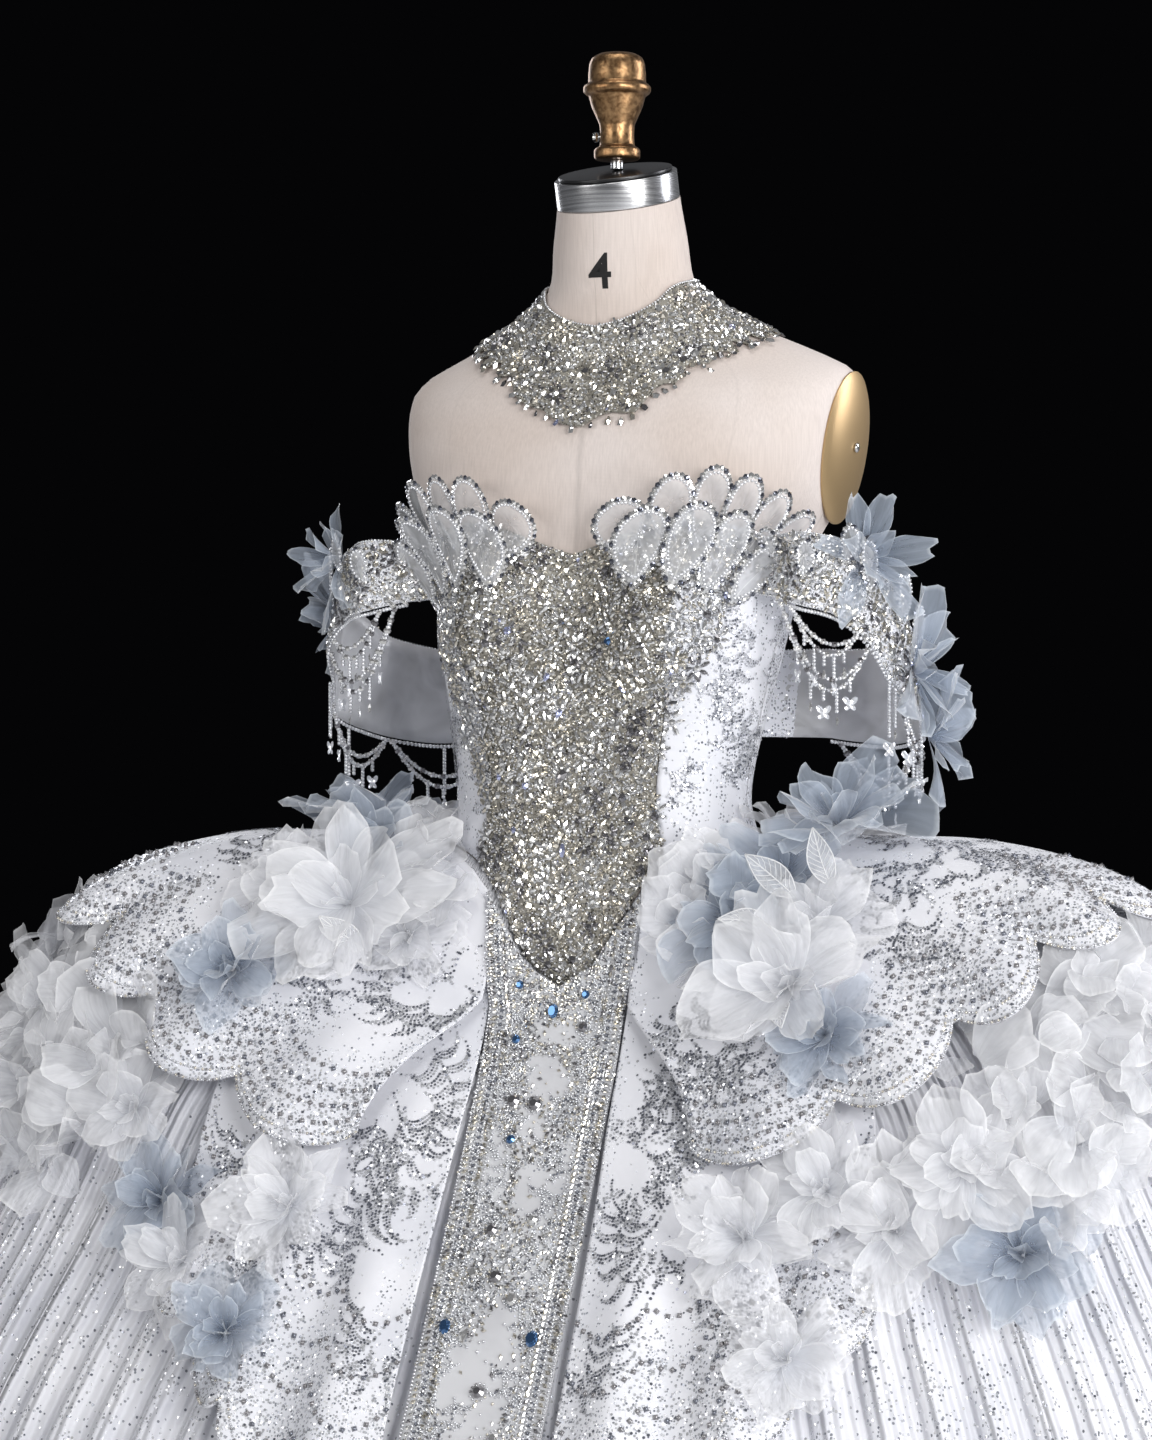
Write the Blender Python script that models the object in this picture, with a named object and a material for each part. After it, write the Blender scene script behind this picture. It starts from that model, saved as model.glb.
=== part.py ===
"""A wedding gown on a limbless dress form, in metres, +Z up.

The gown faces -Y, +X is the form's own left side, and the origin lies on the floor under
the middle of the stand's base. Cloth pieces are thin closed walls. Each one is worked out
from a surface function and a row of sizes, and pieces lie 0.3 mm or more apart.
"""
import math

import bmesh
import bpy
from mathutils import Matrix, Vector
from mathutils.bvhtree import BVHTree

# ---------------------------------------------------------------- driving dimensions
GAP = 0.0003                 # between pieces that touch
CLOTH = 0.0016               # wall of a single layer of cloth
CORSET = 0.0024              # wall of the boned bodice
PANEL_CLOTH = 0.0026         # wall of the beaded centre panel
EASE = 0.0016                # bodice to form at the waist
BUST_EASE = 0.0044           # extra room over the bust
BEAD_RISE = 0.0040           # thickness of the dense beading on the centre front
HEM_CLEAR = 0.010            # hem to floor

TORSO_FOOT = 0.800           # underside of the torso
NECK_TOP = 1.580             # middle of the neck's slanted top
NECK_SHIFT = -0.006          # the neck leans forward by this much at its top
NECK_SLANT = math.radians(15.5)
NECK_TURN = 1.500            # height where the slant starts
BUST_X = 0.083
BUST_Z = 1.222
BUST_RISE = 0.030
ARM_X = 0.186                # arm plate plane at its middle
ARM_Y = 0.032
ARM_Z = 1.3735
ARM_LEAN = 0.15              # the plane leans out towards the top, metres per metre
ARM_HALF_HEIGHT = 0.0625
ARM_HALF_DEPTH = 0.047
ARM_DOME = 0.010

COLUMNS = 40                 # columns round the torso, shared with the bodice
BAND_RADIUS = 0.0512
BAND_HEIGHT = 0.0232
POLE_RADIUS = 0.016
BASE_RADIUS = 0.260
BASE_HEIGHT = 0.018

PLEATS = 80                  # pleats round the skirt
SEAM_DROP = 0.0012           # from the bodice's edge down to the skirt's
SEWN_DOWN = 0.08             # the skirt takes its own shape from here down
PANEL_HALF = 0.060           # half width of the centre-front panel

# height, half width, middle y, front depth, back depth, squareness
TORSO = [
    (0.760, 0.168, -0.008, 0.100, 0.108, 2.2),
    (0.870, 0.175, -0.010, 0.103, 0.112, 2.2),
    (0.930, 0.171, -0.014, 0.100, 0.106, 2.2),
    (1.000, 0.150, -0.024, 0.089, 0.090, 2.1),
    (1.050, 0.131, -0.032, 0.077, 0.077, 2.05),
    (1.080, 0.1245, -0.035, 0.073, 0.070, 2.0),
    (1.110, 0.126, -0.034, 0.073, 0.073, 2.0),
    (1.160, 0.134, -0.028, 0.076, 0.085, 2.1),
    (1.210, 0.142, -0.020, 0.081, 0.095, 2.2),
    (1.260, 0.151, -0.008, 0.086, 0.099, 2.3),
    (1.300, 0.167, 0.005, 0.094, 0.096, 2.5),
    (1.340, 0.186, 0.018, 0.104, 0.090, 2.6),
    (1.380, 0.198, 0.026, 0.106, 0.082, 2.6),
    (1.420, 0.202, 0.030, 0.094, 0.074, 2.4),
    (1.440, 0.190, 0.030, 0.080, 0.064, 2.1),
    (1.455, 0.160, 0.026, 0.075, 0.056, 1.8),
    (1.470, 0.125, 0.020, 0.070, 0.052, 1.8),
    (1.485, 0.092, 0.014, 0.065, 0.050, 1.9),
    (1.500, 0.071, 0.008, 0.060, 0.052, 2.0),
    (1.515, 0.0605, 0.003, 0.0575, 0.054, 2.0),
    (1.545, 0.0565, -0.002, 0.054, 0.053, 2.0),
    (NECK_TOP, 0.0512, NECK_SHIFT, 0.0512, 0.0512, 2.0),
    (1.600, 0.0505, NECK_SHIFT, 0.0505, 0.0505, 2.0),
]

# angle from the front in degrees, height of the bodice's top edge
BODICE_TOP = [
    (0, 1.284), (12, 1.300), (24, 1.312), (40, 1.309), (60, 1.299),
    (90, 1.286), (130, 1.256), (180, 1.236),
]
# angle from the front in degrees, height of the bodice's lower edge
BODICE_FOOT = [
    (0, 0.9355), (9, 0.955), (18, 0.990), (27, 1.018), (40, 1.037), (60, 1.046),
    (90, 1.046), (130, 1.042), (160, 1.025), (180, 1.004),
]

# place down the skirt, half width, its height, y of the widest point,
# front depth, its height, back depth, its height, squareness
SKIRT = [
    (0.00, 0.134, 1.046, -0.030, 0.116, 0.935, 0.050, 1.004, 2.0),
    (0.08, 0.205, 1.044, -0.036, 0.124, 0.908, 0.092, 0.990, 2.1),
    (0.18, 0.315, 1.034, -0.050, 0.140, 0.868, 0.146, 0.962, 2.2),
    (0.28, 0.416, 1.004, -0.066, 0.166, 0.818, 0.200, 0.915, 2.2),
    (0.37, 0.480, 0.936, -0.066, 0.194, 0.762, 0.252, 0.848, 2.2),
    (0.50, 0.550, 0.800, -0.046, 0.242, 0.672, 0.326, 0.735, 2.1),
    (0.63, 0.640, 0.640, -0.028, 0.304, 0.552, 0.404, 0.592, 2.1),
    (0.76, 0.742, 0.440, -0.012, 0.386, 0.388, 0.500, 0.410, 2.0),
    (0.88, 0.826, 0.226, 0.000, 0.468, 0.204, 0.584, 0.214, 2.0),
    (1.00, 0.900, HEM_CLEAR, 0.000, 0.545, HEM_CLEAR, 0.660, HEM_CLEAR, 2.0),
]


# ---------------------------------------------------------------- small tools
def smooth_row(table, position):
    """A table's values at a position in its first column, on a smooth curve through its rows."""
    last = len(table) - 1
    position = min(max(position, table[0][0]), table[last][0])
    place = 0
    while place < last - 1 and position > table[place + 1][0]:
        place += 1
    before = table[max(place - 1, 0)]
    start = table[place]
    end = table[place + 1]
    after = table[min(place + 2, last)]
    span = end[0] - start[0]
    part = (position - start[0]) / span
    square = part * part
    cube = square * part
    values = []
    for column in range(1, len(start)):
        leave = (end[column] - before[column]) / (end[0] - before[0]) * span
        arrive = (after[column] - start[column]) / (after[0] - start[0]) * span
        values.append(
            (2 * cube - 3 * square + 1) * start[column]
            + (cube - 2 * square + part) * leave
            + (3 * square - 2 * cube) * end[column]
            + (cube - square) * arrive
        )
    return values


def signed_power(value, power):
    return math.copysign(abs(value) ** power, value)


def ramp(value, start, end):
    """0 before start, 1 after end, smooth between."""
    part = min(max((value - start) / (end - start), 0.0), 1.0)
    return part * part * (3 - 2 * part)


def hump(value, centre, below, above):
    """A smooth bump of height 1, with its own width on each side."""
    width = below if value < centre else above
    return math.exp(-((value - centre) / width) ** 2)


def steps(start, end, count):
    """count + 1 even values from start to end."""
    return [start + (end - start) * index / count for index in range(count + 1)]


def moved_out(surface, across, down, out):
    """A surface's point moved out along its normal; the normal of (across, up) points out."""
    step = 0.0005
    point = surface(across, down)
    if out == 0.0:
        return point
    side = surface(across + step, down) - surface(across - step, down)
    rise = surface(across, down + step) - surface(across, down - step)
    return point + side.cross(rise).normalized() * out


# ---------------------------------------------------------------- materials and objects
# name: red, green, blue, metallic, roughness
MATERIALS = {
    "linen": (0.78, 0.74, 0.70, 0.0, 0.85),
    "brushed_steel": (0.60, 0.60, 0.61, 1.0, 0.30),
    "black_lacquer": (0.02, 0.02, 0.02, 0.0, 0.35),
    "antique_bronze": (0.48, 0.30, 0.14, 1.0, 0.38),
    "satin_brass": (0.60, 0.42, 0.22, 1.0, 0.35),
    "beaded_tulle": (0.62, 0.60, 0.58, 0.2, 0.40),
    "glitter_lace": (0.80, 0.82, 0.87, 0.0, 0.55),
    "wired_organza": (0.78, 0.80, 0.84, 0.1, 0.45),
    "glass_beads": (0.72, 0.72, 0.74, 0.3, 0.20),
    "pleated_tulle": (0.82, 0.84, 0.89, 0.0, 0.60),
    "white_organza": (0.84, 0.86, 0.90, 0.0, 0.60),
    "blue_organza": (0.42, 0.50, 0.62, 0.0, 0.60),
}


def material(name):
    found = bpy.data.materials.get(name)
    if found:
        return found
    made = bpy.data.materials.new(name)
    made.use_nodes = True
    red, green, blue, metallic, roughness = MATERIALS[name]
    shader = made.node_tree.nodes["Principled BSDF"]
    shader.inputs["Base Color"].default_value = (red, green, blue, 1.0)
    shader.inputs["Metallic"].default_value = metallic
    shader.inputs["Roughness"].default_value = roughness
    return made


def place(name, mesh_data, finish):
    """Put a finished bmesh in the scene as one named object."""
    bmesh.ops.recalc_face_normals(mesh_data, faces=mesh_data.faces)
    if mesh_data.calc_volume(signed=True) < 0:
        bmesh.ops.reverse_faces(mesh_data, faces=mesh_data.faces)
    mesh = bpy.data.meshes.new(name)
    mesh_data.to_mesh(mesh)
    mesh_data.free()
    mesh.materials.append(material(finish))
    mesh.shade_smooth()
    mesh.set_sharp_from_angle(angle=math.radians(50))
    made = bpy.data.objects.new(name, mesh)
    bpy.context.collection.objects.link(made)
    made.parent = ROOT
    return made


def strip_faces(mesh_data, near, far, closed, other_way=False):
    """Quads between two rows of vertices; other_way starts each quad, and so splits it, elsewhere.

    A wall's two sides are split along the same diagonals, so that they stay apart where they twist.
    """
    count = len(near)
    for index in range(count if closed else count - 1):
        following = (index + 1) % count
        corners = [near[index], near[following], far[following], far[index]]
        if other_way:
            corners = corners[1:] + corners[:1]
        mesh_data.faces.new(corners)


def wall(name, outer, inner, finish, closed=False):
    """A closed wall between two grids of points, given as rows; closed joins each row's ends."""
    mesh_data = bmesh.new()
    outside = [[mesh_data.verts.new(point) for point in row] for row in outer]
    inside = [[mesh_data.verts.new(point) for point in row] for row in inner]
    for upper, lower in zip(outside, outside[1:]):
        strip_faces(mesh_data, upper, lower, closed)
    for upper, lower in zip(inside, inside[1:]):
        strip_faces(mesh_data, lower, upper, closed, other_way=True)
    strip_faces(mesh_data, inside[0], outside[0], closed)
    strip_faces(mesh_data, outside[-1], inside[-1], closed)
    if not closed:
        for side in (0, -1):
            near = [row[side] for row in outside]
            far = [row[side] for row in inside]
            strip_faces(mesh_data, near, far, False)
    return place(name, mesh_data, finish)


def capped(name, rings, finish, head=None, fold=None):
    """A solid through closed rings, each end closed by a fan; fold is the ring where it turns back."""
    mesh_data = bmesh.new()
    made = [[mesh_data.verts.new(point) for point in ring] for ring in rings]
    for index, (lower, upper) in enumerate(zip(made, made[1:])):
        strip_faces(mesh_data, lower, upper, True, other_way=fold is not None and index >= fold)
    for ring, middle in ((made[0], None), (made[-1], head)):
        if middle is None:
            middle = sum((vertex.co for vertex in ring), Vector()) / len(ring)
        centre = mesh_data.verts.new(middle)
        for index, vertex in enumerate(ring):
            mesh_data.faces.new((vertex, ring[(index + 1) % len(ring)], centre))
    return place(name, mesh_data, finish)


def turned(name, profile, segments, finish, matrix=None):
    """A turned solid from (radius, height) pairs that start and end on the axis."""
    mesh_data = bmesh.new()
    line = [mesh_data.verts.new((radius, 0.0, height)) for radius, height in profile]
    edges = [mesh_data.edges.new(pair) for pair in zip(line, line[1:])]
    bmesh.ops.spin(
        mesh_data, geom=line + edges, cent=(0, 0, 0), axis=(0, 0, 1), angle=math.tau,
        steps=segments, use_merge=True,
    )
    bmesh.ops.remove_doubles(mesh_data, verts=mesh_data.verts, dist=0.00001)
    if matrix is not None:
        mesh_data.transform(matrix)
    return place(name, mesh_data, finish)


# ---------------------------------------------------------------- dress form surface
def torso_surface(angle, height):
    """A point on the form at an angle from the front and a height."""
    half, middle, front, back, square = smooth_row(TORSO, height)
    power = 2.0 / square
    forward = math.cos(angle)
    x = half * signed_power(math.sin(angle), power)
    y = middle - (front if forward > 0 else back) * signed_power(forward, power)
    if forward > 0:
        bust = hump(abs(x), BUST_X, 0.046, 0.040) * hump(height, BUST_Z, 0.046, 0.062)
        y -= BUST_RISE * bust * ramp(forward, 0.0, 0.5)
    arm_plane = ARM_X + ARM_LEAN * (height - ARM_Z)
    if height > 1.29 and abs(x) > arm_plane:
        x = math.copysign(arm_plane, x)
    slant = ramp(height, NECK_TURN, NECK_TOP) * math.tan(NECK_SLANT)
    return Vector((x, y, height + slant * (y - NECK_SHIFT)))


def bodice_ease(x, height):
    """Distance from the form to the bodice's inside."""
    bust = hump(abs(x), BUST_X, 0.075, 0.055) * hump(height, BUST_Z, 0.060, 0.080)
    return EASE + BUST_EASE * bust


def bodice_point(angle, height, out):
    """A point at a distance out from the bodice's inside."""
    x = torso_surface(angle, height).x
    return moved_out(torso_surface, angle, height, bodice_ease(x, height) + out)


def from_front(angle):
    """Degrees from the front, 0 to 180, on either side."""
    degrees = abs(math.degrees(angle)) % 360.0
    return min(degrees, 360.0 - degrees)


def bodice_top(angle):
    return smooth_row(BODICE_TOP, from_front(angle))[0]


def bodice_foot(angle):
    return smooth_row(BODICE_FOOT, from_front(angle))[0]


def waist_seam(angle):
    """A point of the skirt's top edge, on the straight run between two of the bodice's columns."""
    place = angle / math.tau * COLUMNS
    column = math.floor(place)
    ends = []
    for turn in (column, column + 1):
        at = (turn + COLUMNS / 2) % COLUMNS - COLUMNS / 2
        at = math.tau * at / COLUMNS
        ends.append(bodice_point(at, bodice_foot(at), CORSET))
    return ends[0].lerp(ends[1], place - column) - Vector((0.0, 0.0, SEAM_DROP))


# ---------------------------------------------------------------- skirt surface
def skirt_surface(angle, down):
    """A point on the skirt's envelope; down runs from 0 at the bodice to 1 at the hem."""
    if down < SEWN_DOWN:
        shaped = skirt_surface(angle, SEWN_DOWN)
        return waist_seam(angle).lerp(shaped, max(down, 0.0) / SEWN_DOWN)
    half, side_z, middle, front, front_z, back, back_z, square = smooth_row(SKIRT, down)
    power = 2.0 / square
    side = math.sin(angle)
    forward = math.cos(angle)
    x = half * signed_power(side, power)
    if forward > 0:
        y = middle - (front + middle) * signed_power(forward, power)
        end_z = front_z
    else:
        y = middle - (back - middle) * signed_power(forward, power)
        end_z = back_z
    share = side * side
    return Vector((x, y, side_z * share + end_z * (1 - share)))


def skirt_point(angle, down, out):
    """A point at a distance out from the skirt's envelope."""
    step = 0.0008
    point = skirt_surface(angle, down)
    side = skirt_surface(angle + step, down) - skirt_surface(angle - step, down)
    fall = skirt_surface(angle, min(down + step, 1.0)) - skirt_surface(angle, max(down - step, 0.0))
    return point + fall.cross(side).normalized() * out


def skirt_angle(x, down):
    """The angle at which the skirt has this distance from its middle."""
    half = smooth_row(SKIRT, down)[0]
    square = smooth_row(SKIRT, down)[7]
    share = min(abs(x) / half, 1.0) ** (square / 2.0)
    return math.copysign(math.asin(share), x)


# ---------------------------------------------------------------- the dress form
def build_torso():
    heights = [TORSO_FOOT, 0.900, 0.960, 1.015, 1.050, 1.078, 1.104, 1.130, 1.155]
    heights += [1.178, 1.200, 1.222, 1.246, 1.272, 1.300, 1.330, 1.365, 1.400, 1.424]
    heights += [1.442, 1.457, 1.470, 1.482, 1.492, 1.502, 1.511, 1.524, NECK_TOP]
    angles = steps(0.0, math.tau, COLUMNS)[:-1]
    rings = [[torso_surface(angle, height) for angle in angles] for height in heights]
    capped("form_torso", rings, "linen")


def neck_matrix(rise):
    """A place on the neck's slanted axis, a distance above the neck's top."""
    start = Matrix.Translation((0.0, NECK_SHIFT, NECK_TOP))
    return start @ Matrix.Rotation(NECK_SLANT, 4, "X") @ Matrix.Translation((0.0, 0.0, rise))


def build_neck_cap():
    edge = 0.0008
    band = [
        (0.0, 0.0), (BAND_RADIUS - edge, 0.0), (BAND_RADIUS, edge),
        (BAND_RADIUS, BAND_HEIGHT - edge), (BAND_RADIUS - edge, BAND_HEIGHT),
        (0.0, BAND_HEIGHT),
    ]
    turned("neck_band", band, 28, "brushed_steel", neck_matrix(GAP))
    disc_radius = BAND_RADIUS - 0.0035
    disc_height = 0.0030
    disc = [
        (0.0, 0.0), (disc_radius, 0.0), (disc_radius, disc_height * 0.6),
        (disc_radius - 0.0015, disc_height), (0.0, disc_height),
    ]
    turned("neck_disc", disc, 24, "black_lacquer", neck_matrix(BAND_HEIGHT + 2 * GAP))
    return BAND_HEIGHT + disc_height + 2 * GAP


FINIAL_FOOT = 1.6155
FINIAL_Y = -0.009
# radius, height above the finial's foot
FINIAL = [
    (0.0, 0.0), (0.0175, 0.0), (0.0192, 0.0018), (0.0192, 0.0082), (0.0176, 0.0100),
    (0.0146, 0.0112), (0.0140, 0.0200), (0.0146, 0.0290), (0.0170, 0.0345), (0.0212, 0.0440),
    (0.0236, 0.0530), (0.0262, 0.0545), (0.0281, 0.0565), (0.0281, 0.0605), (0.0262, 0.0625),
    (0.0240, 0.0640), (0.0238, 0.0720), (0.0231, 0.0800), (0.0208, 0.0850), (0.0150, 0.0882),
    (0.0, 0.0900),
]


def build_finial(cap_rise):
    turned("finial", FINIAL, 16, "antique_bronze", Matrix.Translation((0, FINIAL_Y, FINIAL_FOOT)))
    stem_radius = 0.0052
    lean = math.tan(NECK_SLANT)
    cap = neck_matrix(cap_rise + GAP).translation
    low = []
    high = []
    for angle in steps(0.0, math.tau, 12)[:-1]:
        x = stem_radius * math.cos(angle)
        y = FINIAL_Y + stem_radius * math.sin(angle)
        low.append((x, y, cap.z + lean * (y - cap.y)))
        high.append((x, y, FINIAL_FOOT - GAP))
    capped("finial_stem", [low, high], "brushed_steel")
    # the thumb screw stands out of the finial's neck on the form's right side
    neck_radius = 0.0145
    screw = [
        (0.0, 0.0), (0.0016, 0.0), (0.0016, 0.0030), (0.0040, 0.0032), (0.0042, 0.0062),
        (0.0, 0.0064),
    ]
    lay = Matrix.Translation((-neck_radius, FINIAL_Y, FINIAL_FOOT + 0.020))
    turned("finial_screw", screw, 12, "brushed_steel", lay @ Matrix.Rotation(-math.pi / 2, 4, "Y"))


def build_arm_plate(side, name):
    """A domed oval plate on the flat of the armhole, and the screw in its middle."""
    middle_x = ARM_X + GAP
    rings = []
    levels = [(1.0, 0.0), (1.0, 0.0014), (0.86, 0.0060), (0.46, 0.0092)]
    for share, rise in levels:
        ring = []
        for angle in steps(0.0, math.tau, 20)[:-1]:
            up = ARM_HALF_HEIGHT * share * math.sin(angle)
            along = ARM_HALF_DEPTH * share * math.cos(angle)
            x = middle_x + ARM_LEAN * up + rise
            ring.append((side * x, ARM_Y + along, ARM_Z + up))
        rings.append(ring)
    top = Vector((side * (middle_x + ARM_DOME), ARM_Y, ARM_Z))
    capped("arm_plate_" + name, rings, "satin_brass", head=top)
    screw = [(0.0, 0.0), (0.0042, 0.0), (0.0040, 0.0016), (0.0022, 0.0026), (0.0, 0.0028)]
    lean = math.atan(ARM_LEAN)
    turn = Matrix.Rotation(side * (math.pi / 2 + lean), 4, "Y")
    seat = Matrix.Translation((side * (middle_x + ARM_DOME + GAP), ARM_Y, ARM_Z))
    turned("arm_screw_" + name, screw, 12, "brushed_steel", seat @ turn)


def build_stand():
    pole = [
        (0.0, BASE_HEIGHT + GAP), (POLE_RADIUS, BASE_HEIGHT + GAP),
        (POLE_RADIUS, TORSO_FOOT - GAP), (0.0, TORSO_FOOT - GAP),
    ]
    turned("stand_pole", pole, 12, "black_lacquer")
    base = [
        (0.0, 0.0), (BASE_RADIUS, 0.0), (BASE_RADIUS, BASE_HEIGHT * 0.55),
        (BASE_RADIUS - 0.012, BASE_HEIGHT * 0.85), (0.040, BASE_HEIGHT), (0.0, BASE_HEIGHT),
    ]
    turned("stand_base", base, 24, "black_lacquer")


# ---------------------------------------------------------------- bodice
# name, first column, last column; a column is one of the torso's 40
BODICE_PIECES = [
    ("bodice_front", -4, 4),
    ("bodice_side_front_left", 4, 10),
    ("bodice_side_front_right", -10, -4),
    ("bodice_side_back_left", 10, 15),
    ("bodice_side_back_right", -15, -10),
    ("bodice_back_left", 15, 19),
    ("bodice_back_right", -19, -15),
    ("bodice_placket", 19, 21),
]
BODICE_ROWS = 8
SEAM_TURN = 0.0022           # each piece stops this many radians short of the seam


def bead_rise(angle, parity):
    """Thickness of the dense beading at a point of the bodice front."""
    edge = 1.0 - 0.5 * ramp(abs(math.degrees(angle)), 22, 36)
    return BEAD_RISE * edge * (0.8 + 0.2 * (-1) ** parity)


def build_bodice():
    for name, first, last in BODICE_PIECES:
        inner = []
        outer = []
        for row in range(BODICE_ROWS + 1):
            inside = []
            outside = []
            for column in range(first, last + 1):
                angle = math.tau * column / COLUMNS
                foot = bodice_foot(angle)
                height = foot + (bodice_top(angle) - foot) * row / BODICE_ROWS
                rise = CORSET
                if name == "bodice_front" and 0 < row < BODICE_ROWS and first < column < last:
                    rise += bead_rise(angle, column + row)
                if column == first:
                    angle += SEAM_TURN
                if column == last:
                    angle -= SEAM_TURN
                inside.append(bodice_point(angle, height, 0.0))
                outside.append(bodice_point(angle, height, rise))
            inner.append(inside)
            outer.append(outside)
        finish = "beaded_tulle" if name == "bodice_front" else "glitter_lace"
        wall(name, outer, inner, finish)


# ---------------------------------------------------------------- collar
# angle from the front, top edge, lower edge
COLLAR = [
    (0, 1.474, 1.3880), (10, 1.477, 1.404), (20, 1.482, 1.428), (35, 1.491, 1.444),
    (60, 1.506, 1.459), (90, 1.5125, 1.468), (130, 1.514, 1.466), (180, 1.516, 1.462),
]


def build_collar():
    rows = 3
    inner = []
    outer = []
    for row in range(rows + 1):
        part = row / rows
        inside = []
        outside = []
        for column in range(COLUMNS):
            angle = math.tau * column / COLUMNS
            top, foot = smooth_row(COLLAR, from_front(angle))
            if column % 2 and row == 0:
                foot += 0.004
            height = foot + (top - foot) * part
            stand = 0.0030 - 0.0021 * ramp(part, 0.7, 1.0)
            inside.append(moved_out(torso_surface, angle, height, stand))
            outside.append(moved_out(torso_surface, angle, height, stand + 0.0030))
        inner.append(inside)
        outer.append(outside)
    wall("collar", outer, inner, "beaded_tulle", closed=True)


# ---------------------------------------------------------------- skirt and tiers
def pleat_depth(down):
    return 0.0012 + 0.0130 * ramp(down, 0.05, 0.75)


# name, first column, last column; a pleat has two columns
SKIRT_PIECES = [
    ("skirt_front", -20, 20),
    ("skirt_left", 20, 60),
    ("skirt_back", 60, 100),
    ("skirt_right", -60, -20),
]


def build_skirt_base():
    for name, first, last in SKIRT_PIECES:
        inner = []
        outer = []
        for down in (0.0, SEWN_DOWN, 0.24, 0.40, 0.68, 1.0):
            inside = []
            outside = []
            for column in range(first, last + 1):
                angle = math.tau * column / (PLEATS * 2)
                seam = GAP / skirt_point(angle, down, 0.0).xy.length
                if column == first:
                    angle += seam
                if column == last:
                    angle -= seam
                fold = pleat_depth(down) * (column % 2)
                inside.append(skirt_point(angle, down, -fold - CLOTH))
                outside.append(skirt_point(angle, down, -fold))
            inner.append(inside)
            outer.append(outside)
        for grid in (inner, outer):
            for point in grid[-1]:
                point.z = HEM_CLEAR
        wall(name, outer, inner, "pleated_tulle")


def build_panel():
    """The beaded centre-front panel, from the basque's point to the hem."""
    inner = []
    outer = []
    for down in steps(0.06, 0.985, 10):
        inside = []
        outside = []
        rise = 0.0005 + 0.0035 * (1 - ramp(down, 0.05, 0.30))
        for share in steps(-1.0, 1.0, 5):
            width = PANEL_HALF * (1.0 + 0.25 * ramp(down, 0.55, 1.0))
            angle = skirt_angle(share * width, down)
            inside.append(skirt_point(angle, down, rise))
            outside.append(skirt_point(angle, down, rise + PANEL_CLOTH))
        inner.append(inside)
        outer.append(outside)
    wall("centre_panel", outer, inner, "beaded_tulle")


def tier(name, side, rows, columns, head, edges, foot, lift, finish):
    """A wall on the skirt from head to foot(share), between the angles that edges(down) gives."""
    inner = []
    outer = []
    for row in range(rows + 1):
        inside = []
        outside = []
        for share in steps(0.0, 1.0, columns):
            down = head + (foot(share) - head) * row / rows
            front, back = edges(down)
            angle = side * (front + (back - front) * share)
            rise = lift(share, down)
            inside.append(skirt_point(angle, down, rise))
            outside.append(skirt_point(angle, down, rise + CLOTH))
        inner.append(inside)
        outer.append(outside)
    return wall(name, outer, inner, finish)


def scallop(share, count, depth):
    """Down-turned scallops with a notch between them."""
    return depth * abs(math.sin(math.pi * count * share)) ** 0.7


LONG_HEAD = 0.100            # where the long tier starts, under the upper one
UPPER_HEAD = 0.030           # where the upper tier is sewn on


def long_edges(down):
    front = skirt_angle(PANEL_HALF + 0.0018 + 0.010 * ramp(down, 0.1, 0.6), down)
    return front, math.radians(44 - 11 * ramp(down, 0.1, 0.5))


def long_foot(share):
    return 0.655 - 0.150 * ramp(share, 0.1, 1.0) + scallop(share, 4, 0.030)


def long_lift(share, down):
    wave = 0.5 - 0.5 * math.cos(math.tau * 3 * share)
    depth = 0.003 * ramp(down, 0.10, 0.30) + 0.014 * ramp(down, 0.34, 0.62)
    return 0.0034 + 0.003 * ramp(down, 0.09, 0.30) + depth * wave


def upper_edges(down):
    front = skirt_angle(0.058 + 0.090 * ramp(down, 0.03, 0.34), down)
    return front, math.radians(170)


def upper_foot(share):
    return 0.322 - 0.030 * hump(share, 0.36, 0.16, 0.25) + scallop(share, 9, 0.040)


def upper_lift(share, down):
    puff = 0.012 * ramp(down, 0.03, 0.10) + 0.008 * ramp(down, 0.10, 0.20)
    brim = 0.024 * ramp(down, 0.24, 0.38) * hump(share, 0.34, 0.22, 0.30)
    wave = 0.5 - 0.5 * math.cos(math.tau * 9 * share)
    fold = 0.014 * ramp(down, 0.15, 0.38) * wave
    return 0.0011 + puff + brim + fold


RUFFLE_FROM = 51             # degrees from the front
RUFFLE_TO = 128


def build_ruffle(name, side):
    """A gathered organza ruffle that springs out under the upper tier at the hip."""
    rows = (0.24, 0.34, 0.42, 0.49)
    waves = 10
    inner = []
    outer = []
    for down in rows:
        inside = []
        outside = []
        for share in steps(0.0, 1.0, waves * 3):
            angle = side * math.radians(RUFFLE_FROM + (RUFFLE_TO - RUFFLE_FROM) * share)
            wave = math.sin(math.tau * waves * share)
            swell = 0.0008 + 0.033 * ramp(down, 0.24, 0.48)
            rise = swell + 0.024 * ramp(down, 0.34, 0.50) * wave
            inside.append(skirt_point(angle, down, rise))
            outside.append(skirt_point(angle, down, rise + CLOTH))
        inner.append(inside)
        outer.append(outside)
    wall(name, outer, inner, "white_organza")


def build_skirt():
    build_skirt_base()
    build_panel()
    for side, name in ((1, "left"), (-1, "right")):
        tier(
            "long_tier_" + name, side, 6, 15, LONG_HEAD, long_edges, long_foot, long_lift,
            "glitter_lace",
        )
        tier(
            "upper_tier_" + name, side, 5, 28, UPPER_HEAD, upper_edges, upper_foot, upper_lift,
            "glitter_lace",
        )
        build_ruffle("hip_ruffle_" + name, side)


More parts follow.
